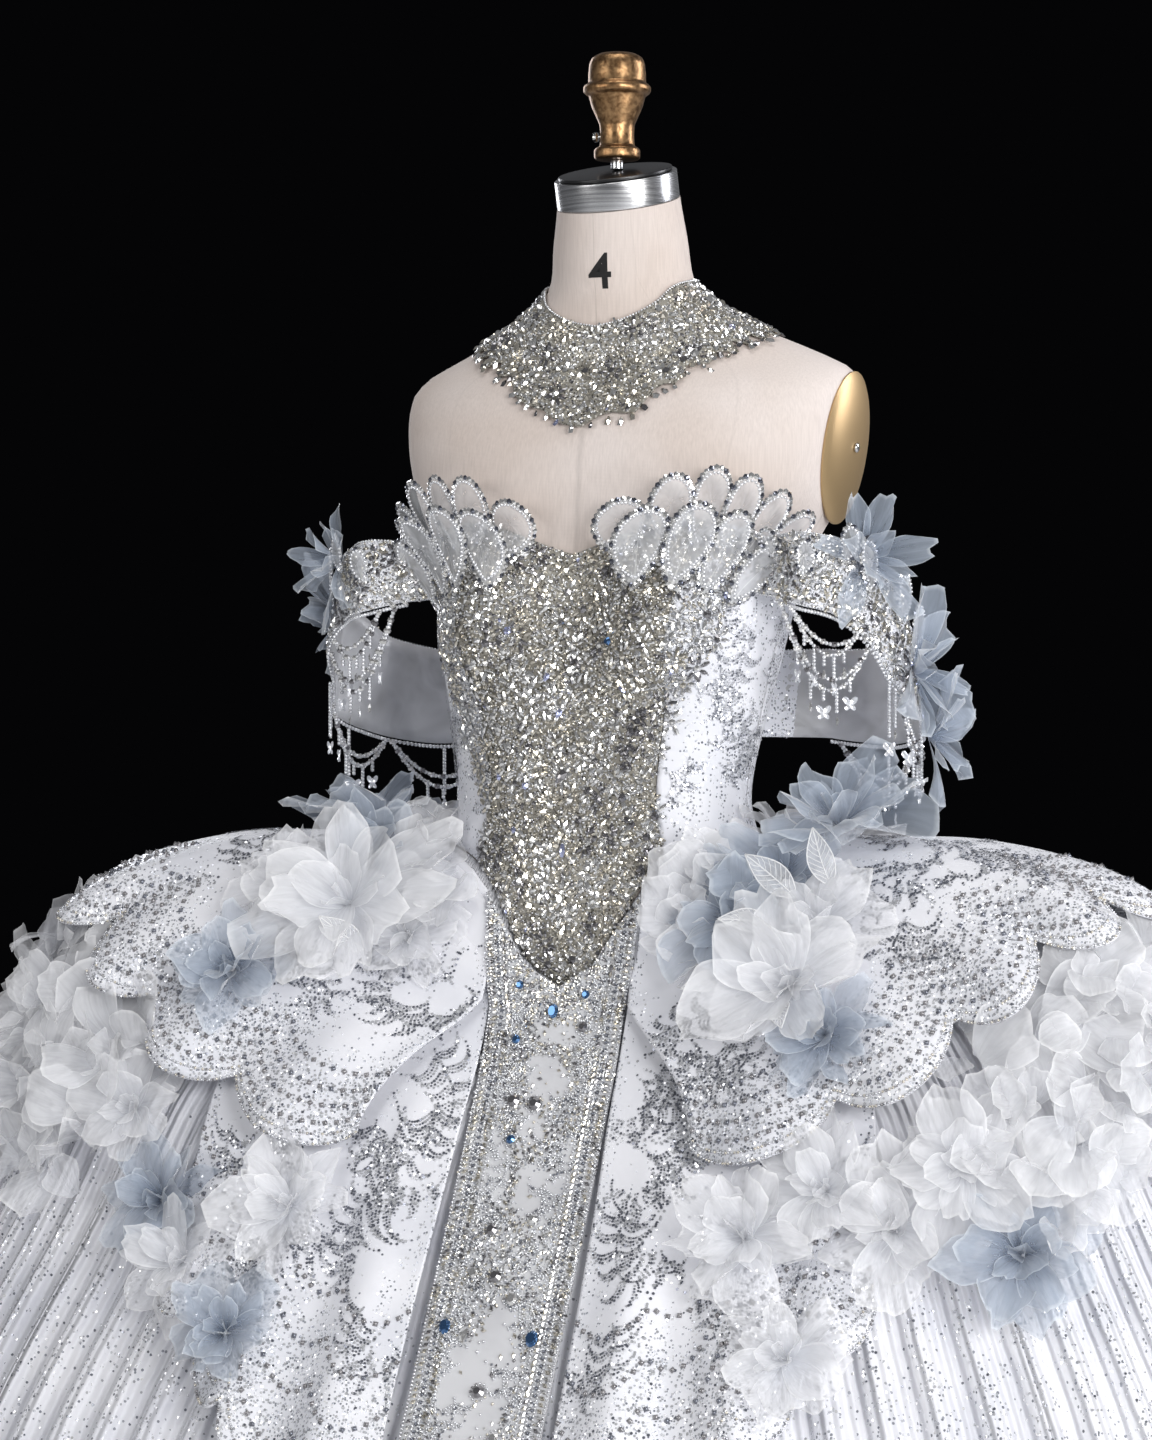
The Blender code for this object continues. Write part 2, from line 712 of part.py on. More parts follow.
# ---------------------------------------------------------------- neckline petals
# name, petals, first angle, last angle, drop below the top edge, height, lean, stand
FRILLS = [
    ("petal_frill_upper", 5, 13, 63, 0.014, 0.060, 0.016, 0.0017),
    ("petal_frill_lower", 4, 19, 60, 0.052, 0.068, 0.030, 0.0010),
]
PETAL_STEPS = 4


def build_frill(side, end, row):
    """A row of stiff wired petals that stands up in front of the bodice's top edge."""
    name, petals, first, last, drop, height, lean, sit = row
    inner = []
    outer = []
    for part in (0.0, 0.5, 1.0):
        inside = []
        outside = []
        for share in steps(0.0, 1.0, petals * PETAL_STEPS):
            degrees = first + (last - first) * share
            angle = side * math.radians(degrees)
            stand = CORSET + sit + BEAD_RISE * (1 - ramp(degrees, 27, 38))
            across = 2 * (share * petals - math.floor(share * petals)) - 1
            tip = 0.56 + 0.44 * (1 - abs(across) ** 3) ** 0.6
            taper = 1.0 - 0.18 * abs(2 * share - 1) ** 2
            base = bodice_top(angle) - drop
            level = base + height * taper * tip * part
            out = stand + lean * (tip * part) ** 1.4 + 0.003 * (1 - across * across) * part
            inside.append(bodice_point(angle, level, out))
            outside.append(bodice_point(angle, level, out + CLOTH))
        inner.append(inside)
        outer.append(outside)
    wall(name + "_" + end, outer, inner, "wired_organza")


# ---------------------------------------------------------------- drop sleeves and fringe
# share along the sleeve from its front end, x, y, top edge, lower edge, lean of the top edge
SLEEVE = [
    (0.00, 0.156, -0.056, 1.296, 1.252, 0.000),
    (0.14, 0.192, -0.078, 1.300, 1.242, 0.002),
    (0.28, 0.226, -0.068, 1.292, 1.228, 0.006),
    (0.40, 0.248, -0.040, 1.272, 1.188, 0.009),
    (0.52, 0.258, -0.002, 1.246, 1.152, 0.010),
    (0.64, 0.246, 0.040, 1.224, 1.138, 0.008),
    (0.76, 0.214, 0.072, 1.212, 1.130, 0.006),
    (0.88, 0.174, 0.084, 1.208, 1.132, 0.003),
    (1.00, 0.138, 0.078, 1.210, 1.138, 0.000),
]
SLEEVE_WALL = 0.0020
SLEEVE_FRONT = math.radians(66)      # where the sleeve's front end meets the bodice
SLEEVE_BACK = math.radians(131)
SLEEVE_END_GAP = 0.0007
STRIP_DROP = 0.0008
STRIP_HEIGHT = 0.0040
STRIP_WALL = 0.0024
STRAND = 0.0016                      # half width of a bead strand


def sleeve_point(side, share, up, out):
    """A point on the sleeve; up runs from 0 at the lower edge to 1 at the top edge."""
    step = 0.01
    before = smooth_row(SLEEVE, share - step)
    after = smooth_row(SLEEVE, share + step)
    x, y, top, foot, lean = smooth_row(SLEEVE, share)
    way = Vector((after[0] - before[0], after[1] - before[1], 0.0)).normalized()
    away = Vector((-way.y, way.x, 0.0)) * -1.0
    point = Vector((x, y, foot + (top - foot) * up))
    point += away * (out + 0.004 * (1 - up) - lean * up)
    point.x *= side
    return point


def build_sleeve(side, end):
    columns = 20
    outer = []
    inner = []
    for up in steps(1.0, 0.0, 2):
        outside = []
        inside = []
        for share in steps(0.0, 1.0, columns):
            swell = 0.003 * math.sin(math.pi * share) * math.cos(math.tau * 6 * share)
            outside.append(sleeve_point(side, share, up, SLEEVE_WALL + swell))
            inside.append(sleeve_point(side, share, up, swell))
        for row, turn in ((outside, -0.5), (inside, 0.5)):
            for place, angle, lead in ((0, SLEEVE_FRONT, 1), (-1, SLEEVE_BACK, -1)):
                at = side * (angle + lead * turn * SLEEVE_WALL / 0.15)
                row[place] = bodice_point(at, row[place].z, CORSET + SLEEVE_END_GAP)
        outer.append(outside)
        inner.append(inside)
    wall("sleeve_" + end, outer, inner, "beaded_tulle")


# first share, last share, sag, swing out from the sleeve
SWAGS = [
    (0.08, 0.34, 0.050, 0.004), (0.12, 0.31, 0.026, 0.000),
    (0.44, 0.66, 0.040, 0.006), (0.67, 0.92, 0.040, 0.006),
]
# share, length
DROPS = [(0.405, 0.052), (0.425, 0.036), (0.55, 0.046), (0.79, 0.046)]


def strand(points):
    """A thin four-sided strand along a line of points, as a closed bmesh."""
    mesh_data = bmesh.new()
    rings = []
    for index, point in enumerate(points):
        before = points[max(index - 1, 0)]
        after = points[min(index + 1, len(points) - 1)]
        way = (after - before).normalized()
        side = way.cross(Vector((0.31, 0.95, 0.04))).normalized()
        rise = way.cross(side)
        corners = (side, rise, -side, -rise)
        rings.append([mesh_data.verts.new(point + corner * STRAND) for corner in corners])
    for near, far in zip(rings, rings[1:]):
        strip_faces(mesh_data, near, far, True)
    mesh_data.faces.new(rings[0])
    mesh_data.faces.new(rings[-1])
    return mesh_data


def build_fringe(side, end):
    """Bead swags and drops, their roots fused in a narrow strip under the sleeve's edge."""
    inner = []
    outer = []
    for drop in (STRIP_DROP, STRIP_DROP + STRIP_HEIGHT):
        outside = []
        inside = []
        for share in steps(0.05, 0.95, 18):
            fall = Vector((0.0, 0.0, -drop))
            outside.append(sleeve_point(side, share, 0.0, STRIP_WALL) + fall)
            inside.append(sleeve_point(side, share, 0.0, 0.0) + fall)
        outer.append(outside)
        inner.append(inside)
    strip = wall("bead_fringe_" + end, outer, inner, "glass_beads")
    middle = Vector((0.0, 0.0, -STRIP_DROP - STRIP_HEIGHT / 2))
    routes = []
    for first, last, sag, swing in SWAGS:
        start = sleeve_point(side, first, 0.0, STRIP_WALL / 2) + middle
        stop = sleeve_point(side, last, 0.0, STRIP_WALL / 2) + middle
        away = Vector((start.y - stop.y, stop.x - start.x, 0.0)).normalized() * -side
        route = []
        for part in steps(0.0, 1.0, 5):
            hang = 4 * part * (1 - part)
            route.append(start.lerp(stop, part) + away * swing * hang - Vector((0, 0, sag * hang)))
        routes.append(route)
    for share, length in DROPS:
        start = sleeve_point(side, share, 0.0, STRIP_WALL / 2) + middle
        routes.append([start, start - Vector((0.0, 0.0, length))])
    for number, route in enumerate(routes):
        made = place("bead_strand_%s_%d" % (end, number), strand(route), "glass_beads")
        made.hide_render = True
        made.display_type = "WIRE"
        union = strip.modifiers.new("strand %d" % number, "BOOLEAN")
        union.operation = "UNION"
        union.object = made


# ---------------------------------------------------------------- organza flowers
# name, cloth it sits on, side, angle, place down the skirt, radius, turn, colour
FLOWERS = [
    ("waist_right", "upper_tier_right", -1, 50, 0.115, 0.072, 0, "white_organza"),
    ("waist_right_side", "upper_tier_right", -1, 96, 0.100, 0.058, 30, "blue_organza"),
    ("hip_right", "upper_tier_right", -1, 45, 0.245, 0.044, 10, "blue_organza"),
    ("fold_right", "long_tier_right", -1, 20, 0.420, 0.048, 50, "white_organza"),
    ("skirt_side_right", "skirt_front", -1, 36.0, 0.460, 0.046, 20, "blue_organza"),
    ("skirt_right_low", "long_tier_right", -1, 21, 0.545, 0.042, 5, "blue_organza"),
    ("waist_left", "upper_tier_left", 1, 46, 0.085, 0.048, 15, "blue_organza"),
    ("waist_left_side", "upper_tier_left", 1, 80, 0.100, 0.062, 40, "blue_organza"),
    ("front_left", "upper_tier_left", 1, 39, 0.200, 0.062, 0, "white_organza"),
    ("fold_left", "long_tier_left", 1, 22, 0.430, 0.050, 35, "white_organza"),
    ("skirt_side_left", "skirt_front", 1, 36.0, 0.450, 0.050, 10, "white_organza"),
    ("skirt_left_low", "long_tier_left", 1, 25, 0.540, 0.042, 0, "white_organza"),
    ("back_left", "upper_tier_left", 1, 140, 0.110, 0.056, 20, "white_organza"),
    ("back_right", "upper_tier_right", -1, 140, 0.110, 0.056, 40, "blue_organza"),
    ("skirt_back_left", "skirt_back", 1, 148.5, 0.460, 0.052, 0, "blue_organza"),
    ("skirt_back_right", "skirt_back", -1, 148.5, 0.460, 0.052, 30, "white_organza"),
]
LOBES = 5
FLOWER_GAP = 0.0006
FLOWER_FOOT = 0.10           # share of the radius that rests on the cloth


def seat_on(cloth, point, normal, reach):
    """Where a foot of this radius, moved in along the normal, first meets a cloth's own faces."""
    mesh = bpy.data.objects[cloth].data
    corners = [vertex.co for vertex in mesh.vertices]
    faces = [tuple(polygon.vertices) for polygon in mesh.polygons]
    tree = BVHTree.FromPolygons(corners, faces)
    start = point + normal * 0.1
    side = normal.orthogonal().normalized() * reach
    rim = [Matrix.Rotation(turn, 3, normal) @ side for turn in steps(0.0, math.tau, 12)[:-1]]
    fall = min(tree.ray_cast(start + off, -normal)[3] for off in rim + [Vector()])
    return start - normal * fall


def build_flower(name, cloth, side, degrees, down, radius, turn, finish):
    """A lobed dish of petals whose middle sits on the cloth under it."""
    angle = side * math.radians(degrees)
    point = skirt_point(angle, down, 0.0)
    away = (skirt_point(angle, down, 0.01) - point).normalized()
    seat = seat_on(cloth, point, away, radius * FLOWER_FOOT) + away * FLOWER_GAP
    matrix = Matrix.Translation(seat) @ away.to_track_quat("Z", "Y").to_matrix().to_4x4()
    rings = []
    spokes = LOBES * 3
    for share, rise, upper in ((FLOWER_FOOT, 0.0, 0.0), (1.0, 0.64, 0.5), (FLOWER_FOOT, 0.0, 1.3)):
        ring = []
        for spoke in range(spokes):
            around = math.radians(turn) + math.tau * spoke / spokes
            lobe = 1.0 if share < 0.2 else 0.86 + 0.14 * math.cos(LOBES * around)
            wave = 0.10 * (share > 0.9) * math.cos(2 * LOBES * around)
            reach = radius * share * lobe
            level = radius * (rise + wave) + CLOTH * upper
            ring.append(matrix @ Vector((reach * math.cos(around), reach * math.sin(around), level)))
        rings.append(ring)
    capped("flower_" + name, rings, finish, fold=1)


# ---------------------------------------------------------------- assembly
for existing in list(bpy.data.objects):
    bpy.data.objects.remove(existing, do_unlink=True)

ROOT = bpy.data.objects.new("gown_root", None)
bpy.context.collection.objects.link(ROOT)

build_torso()
build_finial(build_neck_cap())
build_arm_plate(1, "left")
build_arm_plate(-1, "right")
build_stand()
build_bodice()
build_collar()
build_skirt()
for hand, end_name in ((1, "left"), (-1, "right")):
    for frill in FRILLS:
        build_frill(hand, end_name, frill)
    build_sleeve(hand, end_name)
    build_fringe(hand, end_name)
for flower in FLOWERS:
    build_flower(*flower)
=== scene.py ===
"""Looks for a beaded off-the-shoulder ball gown on a limbless dress form.

It builds cloth, beading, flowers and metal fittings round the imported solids, in metres. The
gown faces -Y, +X is the form's own left, and the stand rests on the floor at z = 0.
"""

from functools import partial
from math import asin, atan, copysign, cos, exp, floor, pi, radians, sin, tan, tau
from math import degrees as in_degrees

import bmesh
import bpy
import numpy as np
from bpy.props import FloatProperty, FloatVectorProperty, IntProperty, PointerProperty
from mathutils import Matrix, Vector
from numpy.random import default_rng


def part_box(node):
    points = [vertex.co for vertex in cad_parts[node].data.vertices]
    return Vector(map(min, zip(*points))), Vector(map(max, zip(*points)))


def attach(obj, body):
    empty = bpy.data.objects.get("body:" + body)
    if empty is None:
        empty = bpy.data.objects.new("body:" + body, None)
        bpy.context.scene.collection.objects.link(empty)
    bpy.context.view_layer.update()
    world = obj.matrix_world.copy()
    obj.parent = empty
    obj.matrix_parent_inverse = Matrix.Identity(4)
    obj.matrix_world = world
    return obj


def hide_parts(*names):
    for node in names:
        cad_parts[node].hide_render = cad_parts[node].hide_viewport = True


bl_info = {
    "name": "Beaded ball gown on a dress form",
    "version": (1, 0, 0),
    "blender": (4, 5, 0),
    "location": "View3D > Sidebar > Gown",
    "description": "Builds the cloth, beading, flowers and fittings of a ball gown round its solids",
    "category": "Object",
}

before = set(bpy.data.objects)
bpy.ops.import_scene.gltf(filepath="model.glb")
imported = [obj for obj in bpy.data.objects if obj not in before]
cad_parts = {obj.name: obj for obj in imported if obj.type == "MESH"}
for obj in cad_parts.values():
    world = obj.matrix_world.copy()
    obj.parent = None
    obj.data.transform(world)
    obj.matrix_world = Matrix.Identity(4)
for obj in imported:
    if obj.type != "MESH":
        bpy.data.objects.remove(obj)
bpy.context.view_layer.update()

# ---- the part's own sizes
CORSET = 0.0024
EASE = 0.0016
BUST_EASE = 0.0044
BEAD_RISE = 0.004
HEM_CLEAR = 0.01
NECK_TOP = 1.58
NECK_SHIFT = -0.006
NECK_SLANT = radians(15.5)
NECK_TURN = 1.5
BUST_X = 0.083
BUST_Z = 1.222
BUST_RISE = 0.03
ARM_X = 0.186
ARM_Y = 0.032
ARM_Z = 1.3735
ARM_LEAN = 0.15
COLUMNS = 40
SEWN_DOWN = 0.08
PANEL_HALF = 0.06
NECKLINE_RADIUS = 0.15
# how near two corners of a mesh are merged
MERGE = 0.00002
LACE_WALL = 0.0012
SATIN_WALL = 0.0014

# height, half width, middle y, front depth, back depth, squareness
TORSO = [
    (0.76, 0.168, -0.008, 0.1, 0.108, 2.2),
    (0.87, 0.175, -0.01, 0.103, 0.112, 2.2),
    (0.93, 0.171, -0.014, 0.1, 0.106, 2.2),
    (1.0, 0.15, -0.024, 0.089, 0.09, 2.1),
    (1.05, 0.131, -0.032, 0.077, 0.077, 2.05),
    (1.08, 0.1245, -0.035, 0.073, 0.07, 2.0),
    (1.11, 0.126, -0.034, 0.073, 0.073, 2.0),
    (1.16, 0.134, -0.028, 0.076, 0.085, 2.1),
    (1.21, 0.142, -0.02, 0.081, 0.095, 2.2),
    (1.26, 0.151, -0.008, 0.086, 0.099, 2.3),
    (1.3, 0.167, 0.005, 0.094, 0.096, 2.5),
    (1.34, 0.186, 0.018, 0.104, 0.09, 2.6),
    (1.38, 0.198, 0.026, 0.106, 0.082, 2.6),
    (1.42, 0.202, 0.03, 0.094, 0.074, 2.4),
    (1.44, 0.19, 0.03, 0.08, 0.064, 2.1),
    (1.455, 0.16, 0.026, 0.075, 0.056, 1.8),
    (1.47, 0.125, 0.02, 0.07, 0.052, 1.8),
    (1.485, 0.092, 0.014, 0.065, 0.05, 1.9),
    (1.5, 0.071, 0.008, 0.06, 0.052, 2.0),
    (1.515, 0.0605, 0.003, 0.0575, 0.054, 2.0),
    (1.545, 0.0565, -0.002, 0.054, 0.053, 2.0),
    (NECK_TOP, 0.0512, NECK_SHIFT, 0.0512, 0.0512, 2.0),
    (1.6, 0.0505, NECK_SHIFT, 0.0505, 0.0505, 2.0),
]

# degrees from the front, height
BODICE_TOP = [
    (0, 1.284), (12, 1.3), (24, 1.312), (40, 1.309), (60, 1.299),
    (90, 1.286), (130, 1.256), (180, 1.236),
]
BODICE_FOOT = [
    (0, 0.9355), (9, 0.955), (18, 0.99), (27, 1.018), (40, 1.037), (60, 1.046),
    (90, 1.046), (130, 1.042), (160, 1.025), (180, 1.004),
]
# degrees from the front, top edge, lower edge
COLLAR = [
    (0, 1.474, 1.388), (10, 1.477, 1.404), (20, 1.482, 1.428), (35, 1.491, 1.444),
    (60, 1.506, 1.459), (90, 1.5125, 1.468), (130, 1.514, 1.466), (180, 1.516, 1.462),
]
# place down the skirt, half width, its height, y of the widest point,
# front depth, its height, back depth, its height, squareness
SKIRT = [
    (0.0, 0.134, 1.046, -0.03, 0.116, 0.935, 0.05, 1.004, 2.0),
    (0.08, 0.205, 1.044, -0.036, 0.124, 0.908, 0.092, 0.99, 2.1),
    (0.18, 0.315, 1.034, -0.05, 0.14, 0.868, 0.146, 0.962, 2.2),
    (0.28, 0.416, 1.004, -0.066, 0.166, 0.818, 0.2, 0.915, 2.2),
    (0.37, 0.48, 0.936, -0.066, 0.194, 0.762, 0.252, 0.848, 2.2),
    (0.5, 0.55, 0.8, -0.046, 0.242, 0.672, 0.326, 0.735, 2.1),
    (0.63, 0.64, 0.64, -0.028, 0.304, 0.552, 0.404, 0.592, 2.1),
    (0.76, 0.742, 0.44, -0.012, 0.386, 0.388, 0.5, 0.41, 2.0),
    (0.88, 0.826, 0.226, 0.0, 0.468, 0.204, 0.584, 0.214, 2.0),
    (1.0, 0.9, HEM_CLEAR, 0.0, 0.545, HEM_CLEAR, 0.66, HEM_CLEAR, 2.0),
]
# share along the sleeve, x, y, top edge, lower edge, lean of the top edge
SLEEVE = [
    (0.0, 0.156, -0.056, 1.296, 1.252, 0.0),
    (0.14, 0.192, -0.078, 1.3, 1.242, 0.002),
    (0.28, 0.226, -0.068, 1.292, 1.228, 0.006),
    (0.4, 0.248, -0.04, 1.272, 1.188, 0.009),
    (0.52, 0.258, -0.002, 1.246, 1.152, 0.01),
    (0.64, 0.246, 0.04, 1.224, 1.138, 0.008),
    (0.76, 0.214, 0.072, 1.212, 1.13, 0.006),
    (0.88, 0.174, 0.084, 1.208, 1.132, 0.003),
    (1.0, 0.138, 0.078, 1.21, 1.138, 0.0),
]
SLEEVE_WALL = 0.002
SLEEVE_LENGTH = 0.46
SLEEVE_DEPTH = 0.075
SLEEVE_FRONT = radians(66)
SLEEVE_BACK = radians(131)
# first share, last share, sag, swing out from the sleeve
SWAGS = [
    (0.08, 0.34, 0.05, 0.004), (0.12, 0.31, 0.026, 0.0),
    (0.44, 0.66, 0.04, 0.006), (0.67, 0.92, 0.04, 0.006),
]
# share, length
DROPS = [(0.405, 0.052), (0.425, 0.036), (0.55, 0.046), (0.79, 0.046)]
# petals, first angle, last angle, drop below the top edge, height, lean, stand
FRILLS = {
    "upper": (6, 13, 66, 0.026, 0.06, 0.016, 0.0017),
    "lower": (4, 19, 60, 0.06, 0.068, 0.03, 0.001),
}


# ---- surfaces of the part
def smooth_row(table, position):
    """A table's values at a position in its first column, on a smooth curve through its rows."""
    last = len(table) - 1
    position = min(max(position, table[0][0]), table[last][0])
    place = 0
    while place < last - 1 and position > table[place + 1][0]:
        place += 1
    before, start = table[max(place - 1, 0)], table[place]
    end, after = table[place + 1], table[min(place + 2, last)]
    span = end[0] - start[0]
    part = (position - start[0]) / span
    square = part * part
    cube = square * part
    leave_share = (cube - 2 * square + part) * span / (end[0] - before[0])
    arrive_share = (cube - square) * span / (after[0] - start[0])
    keep = 2 * cube - 3 * square + 1
    return [keep * start[column] + (1 - keep) * end[column] + leave_share * (end[column] - before[column])
            + arrive_share * (after[column] - start[column]) for column in range(1, len(start))]


def signed_power(value, power):
    return copysign(abs(value) ** power, value)


def ramp(value, start, end):
    part = min(max((value - start) / (end - start), 0.0), 1.0)
    return part * part * (3 - 2 * part)


def hump(value, centre, below, above):
    width = below if value < centre else above
    return exp(-((value - centre) / width) ** 2)


def from_front(angle):
    """Degrees from the front, 0 to 180, on either side."""
    degrees = abs(in_degrees(angle)) % 360.0
    return min(degrees, 360.0 - degrees)


def torso_surface(angle, height):
    half, middle, front, back, square = smooth_row(TORSO, height)
    power = 2.0 / square
    forward = cos(angle)
    x = half * signed_power(sin(angle), power)
    y = middle - (front if forward > 0 else back) * signed_power(forward, power)
    if forward > 0:
        bust = hump(abs(x), BUST_X, 0.046, 0.04) * hump(height, BUST_Z, 0.046, 0.062)
        y -= BUST_RISE * bust * ramp(forward, 0.0, 0.5)
    arm_plane = ARM_X + ARM_LEAN * (height - ARM_Z)
    if height > 1.29 and abs(x) > arm_plane:
        x = copysign(arm_plane, x)
    slant = ramp(height, NECK_TURN, NECK_TOP) * tan(NECK_SLANT)
    return Vector((x, y, height + slant * (y - NECK_SHIFT)))


def torso_point(angle, height, out):
    """A point moved out from the form along its normal."""
    step = 0.0005
    side = torso_surface(angle + step, height) - torso_surface(angle - step, height)
    rise = torso_surface(angle, height + step) - torso_surface(angle, height - step)
    return torso_surface(angle, height) + side.cross(rise).normalized() * out


def bodice_point(angle, height, out):
    x = torso_surface(angle, height).x
    bust = hump(abs(x), BUST_X, 0.075, 0.055) * hump(height, BUST_Z, 0.06, 0.08)
    return torso_point(angle, height, EASE + BUST_EASE * bust + out)


def bodice_top(angle):
    return smooth_row(BODICE_TOP, from_front(angle))[0]


def bodice_foot(angle):
    return smooth_row(BODICE_FOOT, from_front(angle))[0]


def waist_seam(angle):
    place = angle / tau * COLUMNS
    column = floor(place)
    ends = []
    for turn in (column, column + 1):
        at = tau * ((turn + COLUMNS / 2) % COLUMNS - COLUMNS / 2) / COLUMNS
        ends.append(bodice_point(at, bodice_foot(at), CORSET))
    return ends[0].lerp(ends[1], place - column) - Vector((0.0, 0.0, 0.0012))


def skirt_surface(angle, down):
    if down < SEWN_DOWN:
        return waist_seam(angle).lerp(skirt_surface(angle, SEWN_DOWN), max(down, 0.0) / SEWN_DOWN)
    half, side_z, middle, front, front_z, back, back_z, square = smooth_row(SKIRT, down)
    side = sin(angle)
    forward = cos(angle)
    depth, end_z = (front + middle, front_z) if forward > 0 else (back - middle, back_z)
    x = half * signed_power(side, 2.0 / square)
    y = middle - depth * signed_power(forward, 2.0 / square)
    return Vector((x, y, side_z * side * side + end_z * (1 - side * side)))


def skirt_point(angle, down, out):
    step = 0.0008
    side = skirt_surface(angle + step, down) - skirt_surface(angle - step, down)
    fall = skirt_surface(angle, min(down + step, 1.0)) - skirt_surface(angle, max(down - step, 0.0))
    return skirt_surface(angle, down) + fall.cross(side).normalized() * out


def skirt_angle(x, down):
    row = smooth_row(SKIRT, down)
    return copysign(asin(min(abs(x) / row[0], 1.0) ** (row[7] / 2.0)), x)


def scallop(share, count, depth):
    return depth * abs(sin(pi * count * share)) ** 0.7


def long_edges(down):
    front = skirt_angle(PANEL_HALF + 0.0018 + 0.01 * ramp(down, 0.1, 0.6), down)
    return front, radians(44 - 11 * ramp(down, 0.1, 0.5))


def long_foot(share):
    return 0.655 - 0.15 * ramp(share, 0.1, 1.0) + scallop(share, 4, 0.03)


def upper_edges(down):
    front = skirt_angle(0.058 + 0.09 * ramp(down, 0.03, 0.34), down)
    return front, radians(170)


def upper_foot(share):
    return 0.322 - 0.03 * hump(share, 0.36, 0.16, 0.25) + scallop(share, 9, 0.04)


def sleeve_point(side, share, up, out):
    step = 0.01
    before = smooth_row(SLEEVE, share - step)
    after = smooth_row(SLEEVE, share + step)
    x, y, top, foot, lean = smooth_row(SLEEVE, share)
    way = Vector((after[0] - before[0], after[1] - before[1], 0.0)).normalized()
    point = Vector((x, y, foot + (top - foot) * up))
    point += Vector((way.y, -way.x, 0.0)) * (out + 0.004 * (1 - up) - lean * up)
    point.x *= side
    return point


# ---- surfaces for whole arrays
def unit(vectors):
    return vectors / np.maximum(np.linalg.norm(vectors, axis=-1, keepdims=True), 1e-12)


def smooth(values, start, end):
    """ramp() for arrays."""
    part = np.clip((np.asarray(values, float) - start) / (end - start), 0.0, 1.0)
    return part * part * (3 - 2 * part)


def on_each(surface, *shares):
    """The points of a surface function at each item of some arrays of one shape."""
    shares = np.broadcast_arrays(*shares)
    found = [surface(*item)[:] for item in zip(*(share.ravel() for share in shares))]
    return np.array(found).reshape(*shares[0].shape, 3)


GRID_TURNS = 360
GRID_DOWNS = 240
SKIRT_GRID = on_each(
    skirt_surface,
    *np.meshgrid(np.linspace(-pi, pi, GRID_TURNS + 1), np.linspace(0, 1, GRID_DOWNS + 1)),
)


def between(grid, row, column):
    """Values of a grid at fractional rows and columns."""
    row = np.clip(row, 0, grid.shape[0] - 1.000001)
    column = np.clip(column, 0, grid.shape[1] - 1.000001)
    low, left = row.astype(int), column.astype(int)
    down, over = (row - low)[..., None], (column - left)[..., None]
    upper = grid[low, left] * (1 - over) + grid[low, left + 1] * over
    under = grid[low + 1, left] * (1 - over) + grid[low + 1, left + 1] * over
    return upper * (1 - down) + under * down


def skirt_normals(grid):
    across = np.roll(grid, -1, axis=1) - np.roll(grid, 1, axis=1)
    across[:, 0] = across[:, -1] = grid[:, 1] - grid[:, -2]
    return unit(np.cross(np.gradient(grid, axis=0), across))


SKIRT_NORMALS = skirt_normals(SKIRT_GRID)


def skirt_at(angle, down, out):
    """skirt_point() for arrays: places at a distance out from the skirt's envelope."""
    angle, down, out = np.broadcast_arrays(angle, down, out)
    turn = (np.asarray(angle, float) + pi) % tau / tau * GRID_TURNS
    row = np.asarray(down, float) * GRID_DOWNS
    normal = unit(between(SKIRT_NORMALS, row, turn))
    return between(SKIRT_GRID, row, turn) + normal * np.asarray(out, float)[..., None]


def noise(x, y, seed, steps=3):
    """Soft uneven values from about -1 to 1: waves of several lengths and directions."""
    rng = default_rng(seed)
    total = np.zeros(np.broadcast(x, y).shape)
    for octave in range(steps):
        for _ in range(3):
            turn, shift = rng.uniform(0, tau, 2)
            reach = 1.7 ** octave * rng.uniform(0.8, 1.25)
            total += np.sin(reach * (x * cos(turn) + y * sin(turn)) + shift) / 1.7 ** octave
    return total / 4.0


# ---- making pieces
def piece(bm, name, maker, slot, nodes=(), crease=None, thickness=None):
    """Put a finished bmesh in the scene as one piece that rides on the part's only body."""
    mesh = bpy.data.meshes.new(name)
    bm.to_mesh(mesh)
    bm.free()
    mesh.shade_smooth()
    if crease is not None:
        mesh.set_sharp_from_angle(angle=radians(crease))
    return ridden(mesh, name, maker, slot, nodes, thickness)


def linked(name, data):
    made = bpy.data.objects.new(name, data)
    bpy.context.collection.objects.link(made)
    return made


def ridden(mesh, name, maker, slot, nodes=(), thickness=None):
    mesh.materials.append(finish(maker))
    made = linked(name, mesh)
    if thickness:
        made.modifiers.new("cloth thickness", "SOLIDIFY").thickness = thickness
    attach(made, "root")
    if nodes:
        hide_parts(*nodes)
    return made


def shares(columns, rows):
    """Shares across and down at each corner of a grid; down runs from 0 at its head to 1."""
    down, across = np.mgrid[0:1:(rows + 1) * 1j, 0:1:(columns + 1) * 1j]
    return across, down


def add_grid(bm, points, glitter=None):
    """Add a grid to a bmesh, its first row at the head, and move its corners to these points."""
    rows, columns = points.shape[0] - 1, points.shape[1] - 1
    bm.loops.layers.uv.verify()
    layer = bm.verts.layers.float.get("glitter") or bm.verts.layers.float.new("glitter")
    made = bmesh.ops.create_grid(
        bm, x_segments=columns, y_segments=rows, size=0.5, calc_uvs=True
    )["verts"]
    values = np.zeros((rows + 1, columns + 1)) if glitter is None else glitter
    for vert, point, value in zip(made, points[::-1].reshape(-1, 3), values[::-1].ravel()):
        vert.co = point
        vert[layer] = value
    return made


def cloth(name, points, maker, slot, nodes=(), thickness=LACE_WALL, glitter=None, closed=False):
    """A cloth sheet on a grid of points whose columns run to the viewer's right and rows down."""
    bm = bmesh.new()
    made = add_grid(bm, points, glitter)
    if closed:
        bmesh.ops.remove_doubles(bm, verts=made, dist=MERGE)
    return piece(bm, name, maker, slot, nodes, None, thickness)


